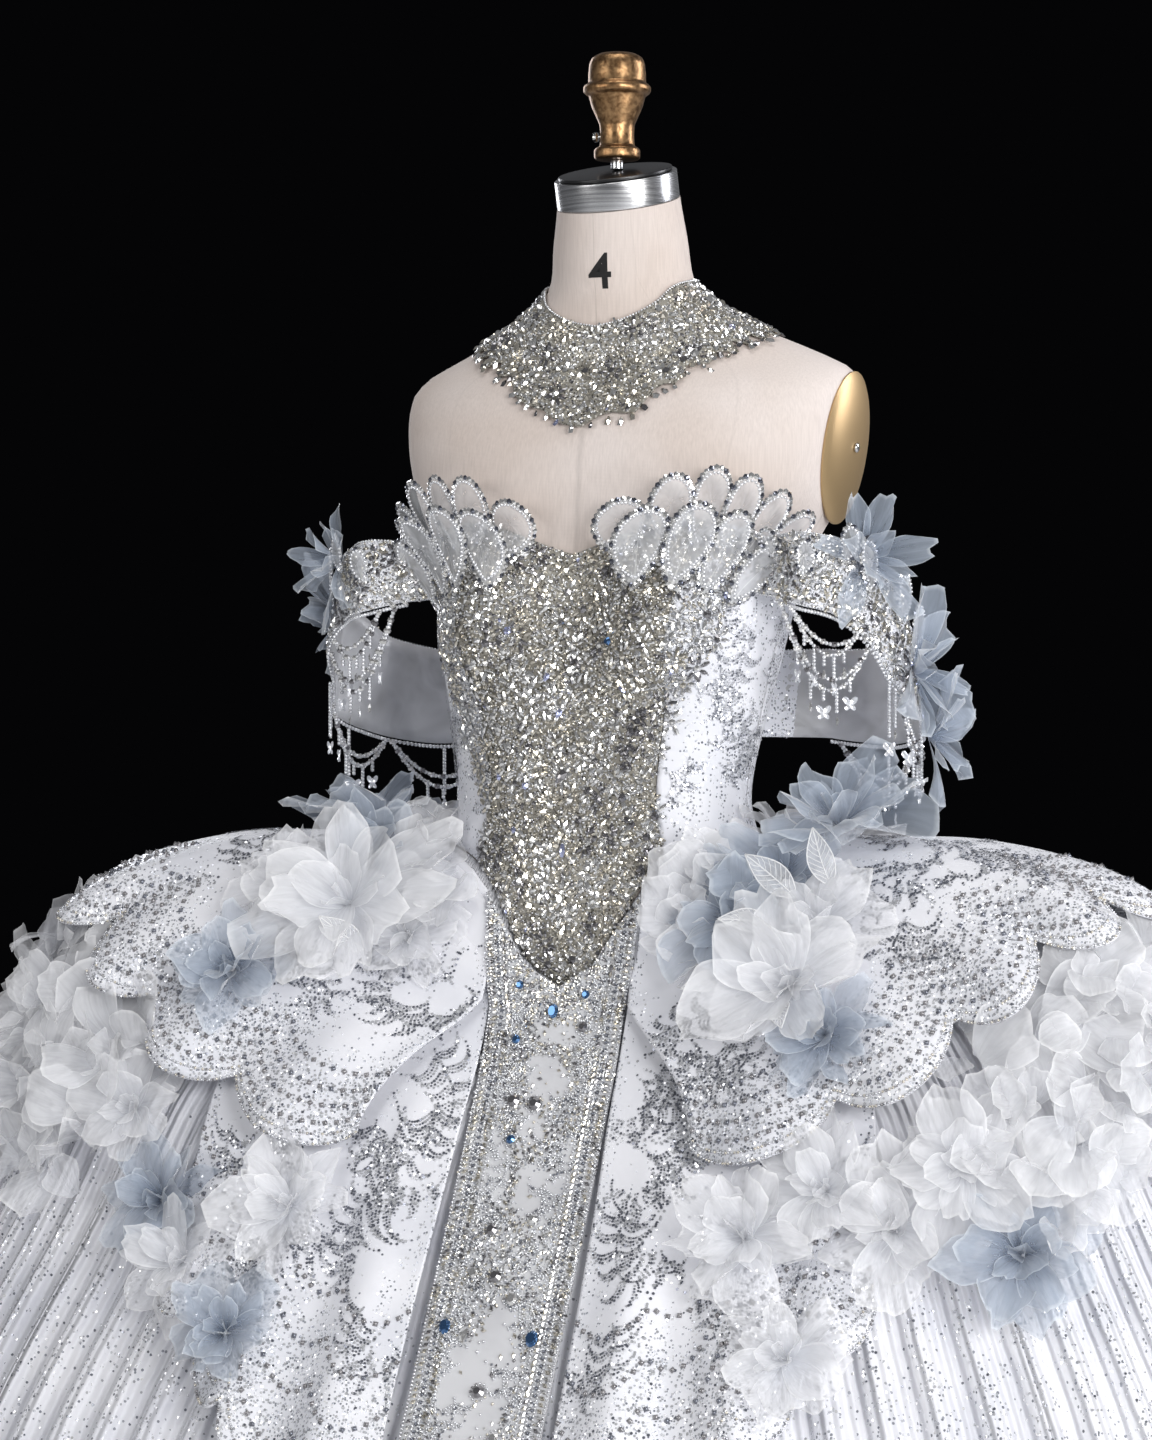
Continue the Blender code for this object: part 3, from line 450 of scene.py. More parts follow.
def steps_on(points, across, down):
    """Where shares lie on a grid of points, and the steps across and down there."""
    row, column = down * (points.shape[0] - 1), across * (points.shape[1] - 1)
    over = between(points, row, column + 0.5) - between(points, row, column - 0.5)
    fall = between(points, row + 0.5, column) - between(points, row - 0.5, column)
    return row, column, over, fall


def on_cloth(points, across, down, lift=0.0):
    """Places, outward normals and directions across at shares of a cloth's grid of points."""
    across, down = np.broadcast_arrays(np.asarray(across, float), np.asarray(down, float))
    row, column, over, fall = steps_on(points, across, down)
    normal = unit(np.cross(fall, over))
    return between(points, row, column) + normal * lift, normal, unit(over)


def axes_on(normal, across, turn):
    """Turning matrices whose z is the normal and whose x is across, turned about the normal."""
    turn = np.broadcast_to(np.asarray(turn, float), len(normal))[:, None]
    across = unit(across - normal * (across * normal).sum(1, keepdims=True))
    x = across * np.cos(turn) + np.cross(normal, across) * np.sin(turn)
    return np.stack([x, np.cross(normal, x), normal], axis=2)


def many(name, groups, maker, slot, nodes=(), smooth_shade=False):
    """One joined mesh of many small shapes: groups of (shape, places, axes, sizes, tints)."""
    corners, loops, starts, tints = [], [], [], []
    base = loop_base = 0
    for (shape, faces), places, axes, sizes, shades in groups:
        count = len(places)
        if not count:
            continue
        sizes = np.asarray(sizes, float)
        sizes = np.broadcast_to(sizes[:, None] if sizes.ndim == 1 else sizes, (count, 3))
        scaled = shape[None] * sizes[:, None, :]
        corners.append((np.einsum("nij,nkj->nki", axes, scaled) + places[:, None]).reshape(-1, 3))
        tints.append(np.repeat(np.broadcast_to(np.asarray(shades, float), (count, 3)), len(shape), axis=0))
        flat = np.concatenate(faces)
        loops.append((flat[None] + base + np.arange(count)[:, None] * len(shape)).ravel())
        first = np.cumsum([0] + [len(face) for face in faces[:-1]])
        starts.append((first[None] + np.arange(count)[:, None] * len(flat) + loop_base).ravel())
        base += count * len(shape)
        loop_base += count * len(flat)
    corners, loops, starts, tints = map(np.concatenate, (corners, loops, starts, tints))
    mesh = bpy.data.meshes.new(name)
    mesh.vertices.add(len(corners))
    mesh.vertices.foreach_set("co", corners.astype(np.float32).ravel())
    mesh.loops.add(len(loops))
    mesh.loops.foreach_set("vertex_index", loops.astype(np.int32))
    mesh.polygons.add(len(starts))
    mesh.polygons.foreach_set("loop_start", starts.astype(np.int32))
    mesh.update(calc_edges=True)
    shade = mesh.color_attributes.new("tint", "FLOAT_COLOR", "POINT")
    shade.data.foreach_set("color", np.c_[tints, np.ones(len(tints))].astype(np.float32).ravel())
    if smooth_shade:
        mesh.shade_smooth()
    else:
        mesh.shade_flat()
    return ridden(mesh, name, maker, slot, nodes)


def shape_of(bm):
    """A bmesh's corners and faces as plain arrays, for many()."""
    bm.verts.index_update()
    corners = np.array([vert.co[:] for vert in bm.verts])
    faces = [np.array([vert.index for vert in face.verts]) for face in bm.faces]
    bm.free()
    return corners, faces


def cut_stone(sides, table, height, narrow=1.0, taper=0.0):
    """A faceted stone with an open back: flat facets rise to a flat table. Its half length is 1."""
    bm = bmesh.new()
    bmesh.ops.create_cone(
        bm, cap_ends=True, segments=sides, radius1=1.0, radius2=table, depth=height,
        matrix=Matrix.Translation((0, 0, height / 2)),
    )
    bm.normal_update()
    back = [face for face in bm.faces if face.normal.z < -0.9]
    bmesh.ops.delete(bm, geom=back, context="FACES_ONLY")
    for vert in bm.verts:
        vert.co.y *= narrow * (1 - taper * vert.co.x)
    return shape_of(bm)


def bead_shape(sides, rings):
    bm = bmesh.new()
    bmesh.ops.create_uvsphere(bm, u_segments=sides, v_segments=rings, radius=1.0)
    return shape_of(bm)


def sequin_shape():
    bm = bmesh.new()
    bmesh.ops.create_circle(bm, cap_ends=True, segments=5, radius=1.0)
    return shape_of(bm)


def tube(bm, route, radius, closed=False, sides=6):
    """Add round piping or wire along a line of points, closed at its ends, to a bmesh."""
    route = [Vector(point) for point in route]
    rings = []
    last = len(route)
    for index, point in enumerate(route):
        ahead = route[(index + 1) % last] if closed or index + 1 < last else point
        behind = route[index - 1] if closed or index else point
        way = (ahead - behind).normalized()
        side = way.cross(Vector((0.31, 0.95, 0.04))).normalized()
        matrix = Matrix((side, way.cross(side), way)).transposed().to_4x4()
        matrix.translation = point
        rings.append(bmesh.ops.create_circle(
            bm, cap_ends=False, segments=sides, radius=radius, matrix=matrix)["verts"])
    for near, far in zip(rings, rings[1:] + rings[:1] * closed):
        for corner in range(sides):
            after = (corner + 1) % sides
            bm.faces.new((near[corner], near[after], far[after], far[corner]))
    if not closed:
        bm.faces.new(rings[0][::-1])
        bm.faces.new(rings[-1])


def turned(name, profile, maker, slot, nodes, matrix=None, segments=64, crease=32):
    """A turned solid from (radius, height) pairs that start and end on the axis."""
    bm = bmesh.new()
    line = [bm.verts.new((radius, 0.0, height)) for radius, height in profile]
    edges = [bm.edges.new(pair) for pair in zip(line, line[1:])]
    bmesh.ops.spin(bm, geom=line + edges, cent=(0, 0, 0), axis=(0, 0, 1),
                   angle=tau, steps=segments, use_merge=True)
    bmesh.ops.remove_doubles(bm, verts=bm.verts, dist=0.00001)
    if matrix is not None:
        bm.transform(matrix)
    bmesh.ops.recalc_face_normals(bm, faces=bm.faces)
    return piece(bm, name, maker, slot, nodes, crease)


def rounded(profile, radius, steps=3):
    """A turning profile with its outer corners rounded off."""
    line = [profile[0]]
    for before, corner, after in zip(profile, profile[1:], profile[2:]):
        before, corner, after = Vector(before), Vector(corner), Vector(after)
        reach = min(radius, (corner - before).length / 2.2, (after - corner).length / 2.2)
        start = corner + (before - corner).normalized() * reach
        end = corner + (after - corner).normalized() * reach
        for step in range(steps + 1):
            part = step / steps
            line.append((start.lerp(corner, part).lerp(corner.lerp(end, part), part))[:])
    line.append(profile[-1])
    return line


# ---- materials
LINEN_THREAD = 0.0011


def looks():
    return bpy.context.scene.gown_looks


def colour(code):
    """Linear colour of an sRGB hex code; a colour from the sidebar is linear already."""
    if not isinstance(code, str):
        return (*code, 1.0)
    parts = [int(code[place:place + 2], 16) / 255 for place in (1, 3, 5)]
    linear = [part / 12.92 if part <= 0.04045 else ((part + 0.055) / 1.055) ** 2.4 for part in parts]
    return (*linear, 1.0)


def add_node(tree, kind, settings=()):
    """Add a node. A setting is a property, an input's value, or the node or (node, output) to link."""
    made = tree.nodes.new("ShaderNode" + kind)
    for key, value in dict(settings).items():
        if isinstance(value, bpy.types.Node):
            value = (value, 0)
        if isinstance(value, tuple) and isinstance(value[0], bpy.types.Node):
            tree.links.new(value[0].outputs[value[1]], made.inputs[key])
        elif isinstance(key, str) and hasattr(made, key):
            setattr(made, key, value)
        else:
            made.inputs[key].default_value = value
    return made


def principled(name, **settings):
    """A material with one Principled shader, what adds a node to it, and its coordinates."""
    made = bpy.data.materials.new(name)
    made.use_nodes = True
    for key, value in settings.items():
        made.node_tree.nodes["Principled BSDF"].inputs[key.replace("_", " ")].default_value = value
    return made, partial(add_node, made.node_tree), add_node(made.node_tree, "TexCoord")


def dressed(made, colour_from, **links):
    """A material once nodes are linked to its shader's colour and other inputs."""
    shader = made.node_tree.nodes["Principled BSDF"]
    for key, node in {"Base Color": colour_from, **links}.items():
        made.node_tree.links.new(node.outputs[0], shader.inputs[key])
    return made


def ramp_node(add, source, stops):
    """A colour ramp over a node's value; stops are (place, colour)."""
    made = add("ValToRGB", {"Fac": source})
    elements = made.color_ramp.elements
    elements[0].position, elements[0].color = stops[0]
    elements[1].position, elements[1].color = stops[-1]
    for position, shade in stops[1:-1]:
        elements.new(position).color = shade
    return made


def grey(value):
    return (value, value, value, 1.0)


def finish(maker):
    """The material that a function makes, made once and named after it."""
    return bpy.data.materials.get(maker.__name__) or maker(maker.__name__)


def threads(add, place, spacing, axis):
    """Fine parallel threads across one axis, with this spacing in metres."""
    return add("TexWave", {
        "wave_type": "BANDS", "bands_direction": axis, "wave_profile": "SIN",
        "Scale": 0.314 / spacing, "Distortion": 1.2, "Detail": 1.0, "Vector": (place, "Object")})


def weave(add, place, spacing, depth):
    """Bump of a plain weave, and its warp and weft threads of one spacing."""
    warp = threads(add, place, spacing, "X")
    weft = threads(add, place, spacing, "Z")
    both = add("Math", {"operation": "MAXIMUM", 0: (warp, "Fac"), 1: (weft, "Fac")})
    return add("Bump", {"Strength": 0.5, "Distance": depth, "Height": both}), both


def sized_linen(name):
    # Plain-woven linen sized and stretched over the form: matt and warm grey, with slubs along
    # its threads and thin sewn seams. Threads are 0.5 mm and drawn at 1.1 mm so that they show.
    made, add, place = principled(name, Roughness=0.84, Sheen_Weight=0.1)
    bump, _ = weave(add, place, LINEN_THREAD, 0.00012)
    stretched = add("Mapping", {"Scale": (700.0, 700.0, 30.0), "Vector": (place, "Object")})
    slubs = add("TexNoise", {"Scale": 1.0, "Detail": 3.0, "Roughness": 0.6, "Vector": stretched})
    soil = add("TexNoise", {"Scale": 9.0, "Detail": 2.0, "Vector": (place, "Object")})
    tone = ramp_node(add, slubs, [(0.3, colour("#D8CDC7")), (0.7, colour("#E4D9D3"))])
    shade = ramp_node(add, soil, [(0.35, colour("#F2EEEA")), (0.65, grey(1.0))])
    cloth_tone = add("MixRGB", {"blend_type": "MULTIPLY", 0: 1.0, 1: tone, 2: shade})
    # seams at the front, both princess lines, the sides and the back: shares of half a turn
    around = add("SeparateXYZ", {0: (place, "UV")})
    doubled = add("Math", {"operation": "MULTIPLY_ADD", 1: 2.0, 2: -1.0, 0: (around, "X")})
    half_turn = add("Math", {"operation": "ABSOLUTE", 0: doubled})
    stops = [(0.0, grey(0.72)), (0.0016, grey(1.0))]
    for seam in (0.19, 0.5, 0.81):
        stops += [(seam - 0.0022, grey(1.0)), (seam, grey(0.72)), (seam + 0.0022, grey(1.0))]
    stops += [(0.9984, grey(1.0)), (1.0, grey(0.72))]
    seams = ramp_node(add, half_turn, stops)
    sewn = add("MixRGB", {"blend_type": "MULTIPLY", 0: 0.55, 1: cloth_tone, 2: seams})
    groove = add("Bump", {"Strength": 0.6, "Distance": 0.0008, "Height": seams, "Normal": bump})
    return dressed(made, sewn, Normal=groove)


def metal(name, low, high, roughness, grain, depth, distortion):
    """A metal whose colour and gloss vary over a grain: (x, y, z) scales of a noise."""
    made, add, place = principled(name, Metallic=1.0)
    along = add("Mapping", {"Scale": grain, "Vector": (place, "Object")})
    marks = add("TexNoise", {"Scale": 1.0, "Detail": 4.0, "Distortion": distortion, "Vector": along})
    tone = ramp_node(add, marks, [(0.3, colour(low)), (0.68, colour(high))])
    gloss = add("MapRange", {"To Min": roughness[0], "To Max": roughness[1], "Value": marks})
    bump = add("Bump", {"Strength": 0.6, "Distance": depth, "Height": marks})
    return dressed(made, tone, Roughness=gloss, Normal=bump)


def brushed_stainless_steel(name):
    # Stainless steel brushed round the neck: fine level lines that stretch each highlight.
    # Brush lines are 0.05 mm and drawn at about 0.7 mm.
    return metal(name, "#A9A9AA", "#E4E4E5", (0.18, 0.34), (8.0, 8.0, 1400.0), 0.00004, 0.0)


def cast_antique_bronze(name):
    # Cast bronze under worn gold lacquer: pitted and hammered at 2 to 4 mm, brown in its hollows.
    return metal(name, "#745539", "#B8936A", (0.26, 0.46), (240.0, 240.0, 240.0), 0.0005, 0.4)


def satin_brass(name):
    # Spun brass sheet with a satin lacquer: soft broad highlight and faint rubbed marks.
    return metal(name, "#9C6A3A", "#C68F54", (0.3, 0.46), (20.0, 60.0, 180.0), 0.00005, 0.3)


def polished_screw_steel(name):
    # Nickel-plated steel screws: bright, with slight handling marks.
    return metal(name, "#B9B7B3", "#ECEAE6", (0.12, 0.24), (160.0, 160.0, 160.0), 0.00004, 0.0)


def black_powder_coat(name):
    # Powder-coated steel: near black, an even orange peel of 1 mm, half gloss.
    made, add, place = principled(name, Roughness=0.36, Coat_Weight=0.25, Coat_Roughness=0.2)
    peel = add("TexNoise", {"Scale": 900.0, "Detail": 2.0, "Vector": (place, "Object")})
    tone = ramp_node(add, peel, [(0.35, colour("#0B0B0C")), (0.65, colour("#1A1A1C"))])
    bump = add("Bump", {"Strength": 0.35, "Distance": 0.0002, "Height": peel})
    return dressed(made, tone, Normal=bump)


def printed_black_ink(name):
    # Screen ink on linen: dead black, slightly broken by the weave.
    made, add, place = principled(name, Roughness=0.75)
    bump, both = weave(add, place, LINEN_THREAD, 0.00008)
    tone = ramp_node(add, both, [(0.0, colour("#2A2725")), (0.6, colour("#0C0B0B"))])
    return dressed(made, tone, Normal=bump)


def tinted(name, metallic, roughness, **settings):
    """A glossy material in each small piece's own tint, with a gloss that varies a little."""
    made, add, place = principled(name, Metallic=metallic, **settings)
    tint = add("Attribute", {"attribute_name": "tint"})
    marks = add("TexNoise", {"Scale": 420.0, "Detail": 1.0, "Vector": (place, "Object")})
    gloss = add("MapRange", {"To Min": roughness[0], "To Max": roughness[1], "Value": marks})
    return dressed(made, tint, Roughness=gloss)


def foil_backed_crystal(name):
    # Lead-glass stones with a foil back: each facet mirrors something else, so they flash
    # between near black and white. Tints give clear, smoke, champagne, sapphire and iris stones.
    return tinted(name, 0.88, (0.03, 0.12), Coat_Weight=0.5, Coat_Roughness=0.03)


def silver_lined_glass_beads(name):
    # Round seed beads with a silver lining: small sharp highlights over a soft grey.
    return tinted(name, 0.55, (0.1, 0.28), Coat_Weight=0.6, Coat_Roughness=0.05)


def silvered_sequins(name):
    # Silvered film sequins and bugles: bright where they face a light, grey elsewhere.
    return tinted(name, 0.6, (0.14, 0.32))


def flakes(add, place, size, density):
    """Round glitter flakes of one size, more of them where density is high.

    Returns the mask, a random value for each flake, and a height that tilts each one its own way.
    """
    cells = add("TexVoronoi", {"Scale": 1.0 / size, "Randomness": 0.9, "Vector": place})
    parts = add("SeparateColor", {0: (cells, "Color")})
    chosen = add("Math", {"operation": "LESS_THAN", 0: (parts, "Red"), 1: density})
    near = add("Math", {"operation": "LESS_THAN", 1: 0.46, 0: (cells, "Distance")})
    mask = add("Math", {"operation": "MULTIPLY", 0: chosen, 1: near})
    inside = add("VectorMath", {"operation": "SUBTRACT", 0: place, 1: (cells, "Position")})
    lean = add("VectorMath", {"operation": "SUBTRACT", 1: (0.5, 0.5, 0.5), 0: (cells, "Color")})
    slope = add("VectorMath", {"operation": "DOT_PRODUCT", 0: inside, 1: lean})
    height = add("Math", {"operation": "MULTIPLY", 0: (slope, "Value"), 1: mask})
    return mask, parts, height


SILVER_FLAKES = ("#8B8F99", "#B8BCC5", "#E2E5EB", "#FFFFFF")
CHAMPAGNE_FLAKES = ("#45423B", "#8A857A", "#D3CEC3", "#FFFDF7")


def glitter_cloth(name, plain, shade, flake_size, sheen, fold_lines=0.0, base_density=0.0,
                  roughness=0.5, flake_colours=SILVER_FLAKES):
    """Cloth with silver glitter where its glitter attribute is high, each flake tilted its own way by a bump.
    """
    made, add, place = principled(name, Sheen_Weight=sheen, Sheen_Roughness=0.4)
    amount = add("Attribute", {"attribute_name": "glitter"})
    density = add("Math", {"operation": "ADD", 1: base_density, 0: (amount, "Fac")})
    mask, parts, height = flakes(add, (place, "Object"), flake_size, (density, 0))
    cloud = add("TexNoise", {"Scale": 14.0, "Detail": 3.0, "Vector": (place, "Object")})
    tone = ramp_node(add, cloud, [(0.32, colour(shade)), (0.62, colour(plain))])
    flake_tone = ramp_node(add, (parts, "Green"), [
        (place_on, colour(code)) for place_on, code in zip((0.0, 0.35, 0.62, 1.0), flake_colours)])
    mixed = add("MixRGB", {0: mask, 1: tone, 2: flake_tone})
    gloss = add("MapRange", {"To Min": roughness, "To Max": 0.22, "Value": mask})
    metallic = add("Math", {"operation": "MULTIPLY", 1: 0.5, 0: mask})
    bump = add("Bump", {"Strength": 1.0, "Distance": 1.0, "Height": height})
    last = bump
    if fold_lines:
        lines = add("TexWave", {
            "wave_type": "BANDS", "bands_direction": "X", "Scale": fold_lines / 3.2,
            "Distortion": 0.6, "Detail": 1.0, "Detail Scale": 2.0, "Vector": (place, "UV")})
        last = add("Bump", {"Strength": 0.7, "Distance": 0.004, "Height": (lines, "Fac"),
                            "Normal": bump})
    return dressed(made, mixed, Roughness=gloss, Metallic=metallic, Normal=last)


def glittered_satin(name):
    # White duchess satin under glitter lace: a soft cool sheen, and 2 mm silver flakes that
    # crowd along the scalloped edges and thin out to bare satin.
    return glitter_cloth(name, looks().satin, "#E0E1E8", 0.0021, 0.25, roughness=0.46)


def pleated_glitter_tulle(name):
    # Layered soft tulle in sunray pleats: matt white, 3 mm fine pleats between the main ones
    # and a dust of flakes along the ridges.
    return glitter_cloth(name, looks().tulle, "#DFE0E8", 0.0026, 0.3, fold_lines=80.0, roughness=0.62)


def beaded_net_ground(name):
    # Net wholly covered with 2 mm silver and champagne seed beads: a grainy grey glitter.
    return glitter_cloth(name, "#97938A", "#6C685F", 0.0021, 0.05, base_density=0.8,
                         flake_colours=CHAMPAGNE_FLAKES)


def beaded_silver_net(name):
    # The panel's net: cooler and paler than the bodice's, as the satin under it shows through.
    return glitter_cloth(name, "#D6D6D9", "#BDBDC1", 0.0021, 0.15)


def ivory_duchess_satin(name):
    # Heavy satin lining: long soft highlights along its creases, partly painted, and painted shade in their
    # hollows; cool white.
    made, add, place = principled(name, Roughness=0.36, Sheen_Weight=0.2, Coat_Weight=0.12,
                                   Coat_Roughness=0.35)
    ribs = threads(add, place, 0.0009, "Z")
    fold_heights_and_painted_shade = add("TexNoise", {"Scale": 26.0, "Detail": 2.0, "Distortion": 0.8,
                             "Vector": (place, "Object")})
    # painted shade and painted highlight: the fold heights also darken the colour in their hollows and
    # lighten it on their ridges
    tone = ramp_node(add, fold_heights_and_painted_shade, [(0.3, colour("#B4B4B6")), (0.66, colour("#D8D8DB"))])
    rib_bump = add("Bump", {"Strength": 0.3, "Distance": 0.00006, "Height": (ribs, "Fac")})
    bump = add("Bump", {"Strength": 0.8, "Distance": 0.004, "Height": fold_heights_and_painted_shade, "Normal": rib_bump})
    return dressed(made, tone, Normal=bump)


def organza(name, root, body, rim, cover):
    """Crisp sheer silk: cloudy, deeper in colour at a petal's root, with a thin bright rim."""
    made, add, place = principled(name, Roughness=0.7, Specular_IOR_Level=0.2, Sheen_Weight=1.0,
                                   Sheen_Roughness=0.45)
    parts = add("SeparateXYZ", {0: (place, "UV")})
    # how near a petal's side or tip is: 0 along its middle, 1 at its rim
    turned_in = add("Math", {"operation": "MULTIPLY_ADD", 1: 2.0, 2: -1.0, 0: (parts, "X")})
    aside = add("Math", {"operation": "ABSOLUTE", 0: turned_in})
    tip = add("Math", {"operation": "SUBTRACT", 0: 1.0, 1: (parts, "Y")})
    edge = add("Math", {"operation": "MAXIMUM", 0: aside, 1: tip})
    # creases that run from root to tip, shifted from petal to petal by where each one is
    along = add("Mapping", {"Scale": (8.0, 1.2, 1.0), "Vector": (place, "UV")})
    shifted = add("VectorMath", {"operation": "MULTIPLY_ADD", 1: (9.0, 9.0, 9.0),
                                 0: (place, "Object"), 2: along})
    cloud = add("TexNoise", {"Scale": 1.0, "Detail": 3.0, "Distortion": 0.5, "Vector": shifted})
    depth = ramp_node(add, (parts, "Y"), [(0.0, grey(1.0)), (0.45, grey(0.7)), (0.9, grey(0.0))])
    tone = add("MixRGB", {1: colour(root), 2: colour(body), 0: depth})
    hem = ramp_node(add, edge, [(0.0, grey(0.0)), (0.93, grey(0.0)), (1.0, grey(0.8))])
    rimmed = add("MixRGB", {2: colour(rim), 0: hem, 1: tone})
    sheer = add("MapRange", {"From Min": 0.3, "From Max": 0.7, "To Min": cover - 0.07,
                             "To Max": cover + 0.07, "Value": cloud})
    whole = add("Math", {"operation": "MULTIPLY_ADD", 1: 0.2, "use_clamp": True, 0: hem, 2: sheer})
    bump = add("Bump", {"Strength": 0.3, "Distance": 0.005, "Height": cloud})
    return dressed(made, rimmed, Alpha=whole, Normal=bump)


def white_silk_organza(name):
    # Sheer white silk organza, crisp enough to stand: cloudy where it overlaps.
    return organza(name, "#ECEEF4", looks().white_organza, "#FFFFFF", 0.38)


def blue_silk_organza(name):
    # The same organza dyed a dusty blue that pales to its rim.
    return organza(name, "#7C8AA0", looks().blue_organza, "#E6ECF3", 0.44)


def wired_petal_organza(name):
    # Stiffened white organza inside a wired, beaded rim: sheer, faintly silvery.
    return organza(name, "#DCDEE2", "#F6F7FA", "#FFFFFF", 0.34)


def pale_studio_floor(name):
    # Painted studio floor: matt pale grey with a faint roller mottle.
    made, add, place = principled(name, Roughness=0.7)
    mottle = add("TexNoise", {"Scale": 3.0, "Detail": 4.0, "Vector": (place, "Object")})
    tone = ramp_node(add, mottle, [(0.35, colour("#D2D3D5")), (0.65, colour("#DADBDD"))])
    return dressed(made, tone)


# ---- the form and its fittings
FORM_FOOT = 0.8
BAND_RADIUS = 0.0512
BAND_HEIGHT = 0.0232
DISC_HEIGHT = 0.003
STEM_RADIUS = 0.0052
SEAM_GAP = 0.0003
FINIAL_FOOT = 1.6155
FINIAL_Y = -0.009
# radius, height above the finial's foot
FINIAL = [
    (0.0, 0.0), (0.0175, 0.0), (0.0192, 0.0018), (0.0192, 0.0082), (0.0176, 0.01),
    (0.0146, 0.0112), (0.014, 0.02), (0.0146, 0.029), (0.017, 0.0345), (0.0212, 0.044),
    (0.0236, 0.053), (0.0262, 0.0545), (0.0281, 0.0565), (0.0281, 0.0605), (0.0262, 0.0625),
    (0.024, 0.064), (0.0238, 0.072), (0.0231, 0.08), (0.0208, 0.085), (0.015, 0.0882),
    (0.0, 0.09),
]
BASE_RADIUS = 0.26
BASE_HEIGHT = 0.018
POLE_RADIUS = 0.016
NUMERAL_TURN = radians(5)
NUMERAL_HEIGHT = 1.517
NUMERAL_SIZE = 0.041
PRINT_RISE = 0.00025


def build_form():
    across, down = shares(96, 96)
    points = on_each(torso_surface, (across - 0.5) * tau, NECK_TOP - down * (NECK_TOP - FORM_FOOT))
    bm = bmesh.new()
    made = add_grid(bm, points)
    bmesh.ops.remove_doubles(bm, verts=made, dist=MERGE)
    rims = [edge for edge in bm.edges if edge.is_boundary]
    bmesh.ops.holes_fill(bm, edges=rims, sides=0)
    piece(bm, "form_linen_cover", sized_linen, "linen", ["form_torso"], 60)


def build_numeral():
    """The size numeral that dress forms carry, as a plain printed figure."""
    letters = bpy.data.curves.new("size_numeral", "FONT")
    letters.body = "4"
    letters.size = NUMERAL_SIZE
    letters.align_x = "CENTER"
    letters.align_y = "CENTER"
    letters.offset = 0.0005
    shown = linked("size_numeral", letters)
    bpy.context.view_layer.update()
    flat = bpy.data.meshes.new_from_object(shown.evaluated_get(bpy.context.evaluated_depsgraph_get()))
    bpy.data.objects.remove(shown, do_unlink=True)
    bm = bmesh.new()
    bm.from_mesh(flat)
    bpy.data.meshes.remove(flat)
    for step in range(-8, 9):
        for normal in ((1, 0, 0), (0, 1, 0)):
            cut = Vector(normal) * step * 0.002
            geometry = bm.verts[:] + bm.edges[:] + bm.faces[:]
            bmesh.ops.bisect_plane(bm, geom=geometry, plane_co=cut, plane_no=normal)
    middle = torso_point(NUMERAL_TURN, NUMERAL_HEIGHT, PRINT_RISE)
    aside = (torso_point(NUMERAL_TURN + 0.01, NUMERAL_HEIGHT, PRINT_RISE) - middle) * Vector((1, 1, 0))
    aside.normalize()
    for vert in bm.verts:
        turn, level = NUMERAL_TURN, NUMERAL_HEIGHT
        # the neck widens downwards, so the place that keeps the figure upright is found in steps
        for _ in range(5):
            point = torso_point(turn, level, PRINT_RISE)
            turn += (vert.co.x - (point - middle).dot(aside)) / 0.057
            level += NUMERAL_HEIGHT + vert.co.y - point.z
        vert.co = torso_point(turn, level, PRINT_RISE)
    piece(bm, "size_numeral_print", printed_black_ink, "black_lacquer")


def neck_matrix(rise):
    start = Matrix.Translation((0.0, NECK_SHIFT, NECK_TOP))
    return start @ Matrix.Rotation(NECK_SLANT, 4, "X") @ Matrix.Translation((0.0, 0.0, rise))


def disc(radius, foot, top, round_off):
    """The turning profile of a plain disc or rod with its edges rounded off."""
    return rounded([(0.0, foot), (radius, foot), (radius, top), (0.0, top)], round_off)


def build_neck_cap():
    turned("neck_band_steel", disc(BAND_RADIUS, 0.0, BAND_HEIGHT, 0.001), brushed_stainless_steel,
           "brushed_steel", ["neck_band"], neck_matrix(SEAM_GAP), 128)
    turned("neck_disc_lacquer", disc(BAND_RADIUS - 0.0035, 0.0, DISC_HEIGHT, 0.0012),
           black_powder_coat, "black_lacquer", ["neck_disc"],
           neck_matrix(BAND_HEIGHT + 2 * SEAM_GAP), 128)


def build_finial():
    lay = Matrix.Translation((0.0, FINIAL_Y, FINIAL_FOOT))
    turned("finial_bronze", rounded(FINIAL, 0.0016, 2), cast_antique_bronze,
           "antique_bronze", ["finial"], lay, 96, 40)
    low = neck_matrix(BAND_HEIGHT + DISC_HEIGHT + 3 * SEAM_GAP).translation.z + 0.0016
    turned("finial_stem_steel", disc(STEM_RADIUS, low, FINIAL_FOOT - SEAM_GAP, 0.0004),
           brushed_stainless_steel, "brushed_steel", ["finial_stem"],
           Matrix.Translation((0, FINIAL_Y, 0)), 48)
    screw = [(0.0, 0.0), (0.0016, 0.0), (0.0016, 0.003), (0.004, 0.0032), (0.0042, 0.0062), (0.0, 0.0064)]
    lay = Matrix.Translation((-0.0145, FINIAL_Y, FINIAL_FOOT + 0.02))
    turned("finial_thumb_screw", rounded(screw, 0.0005), polished_screw_steel, "brushed_steel",
           ["finial_screw"], lay @ Matrix.Rotation(-pi / 2, 4, "Y"), 32)


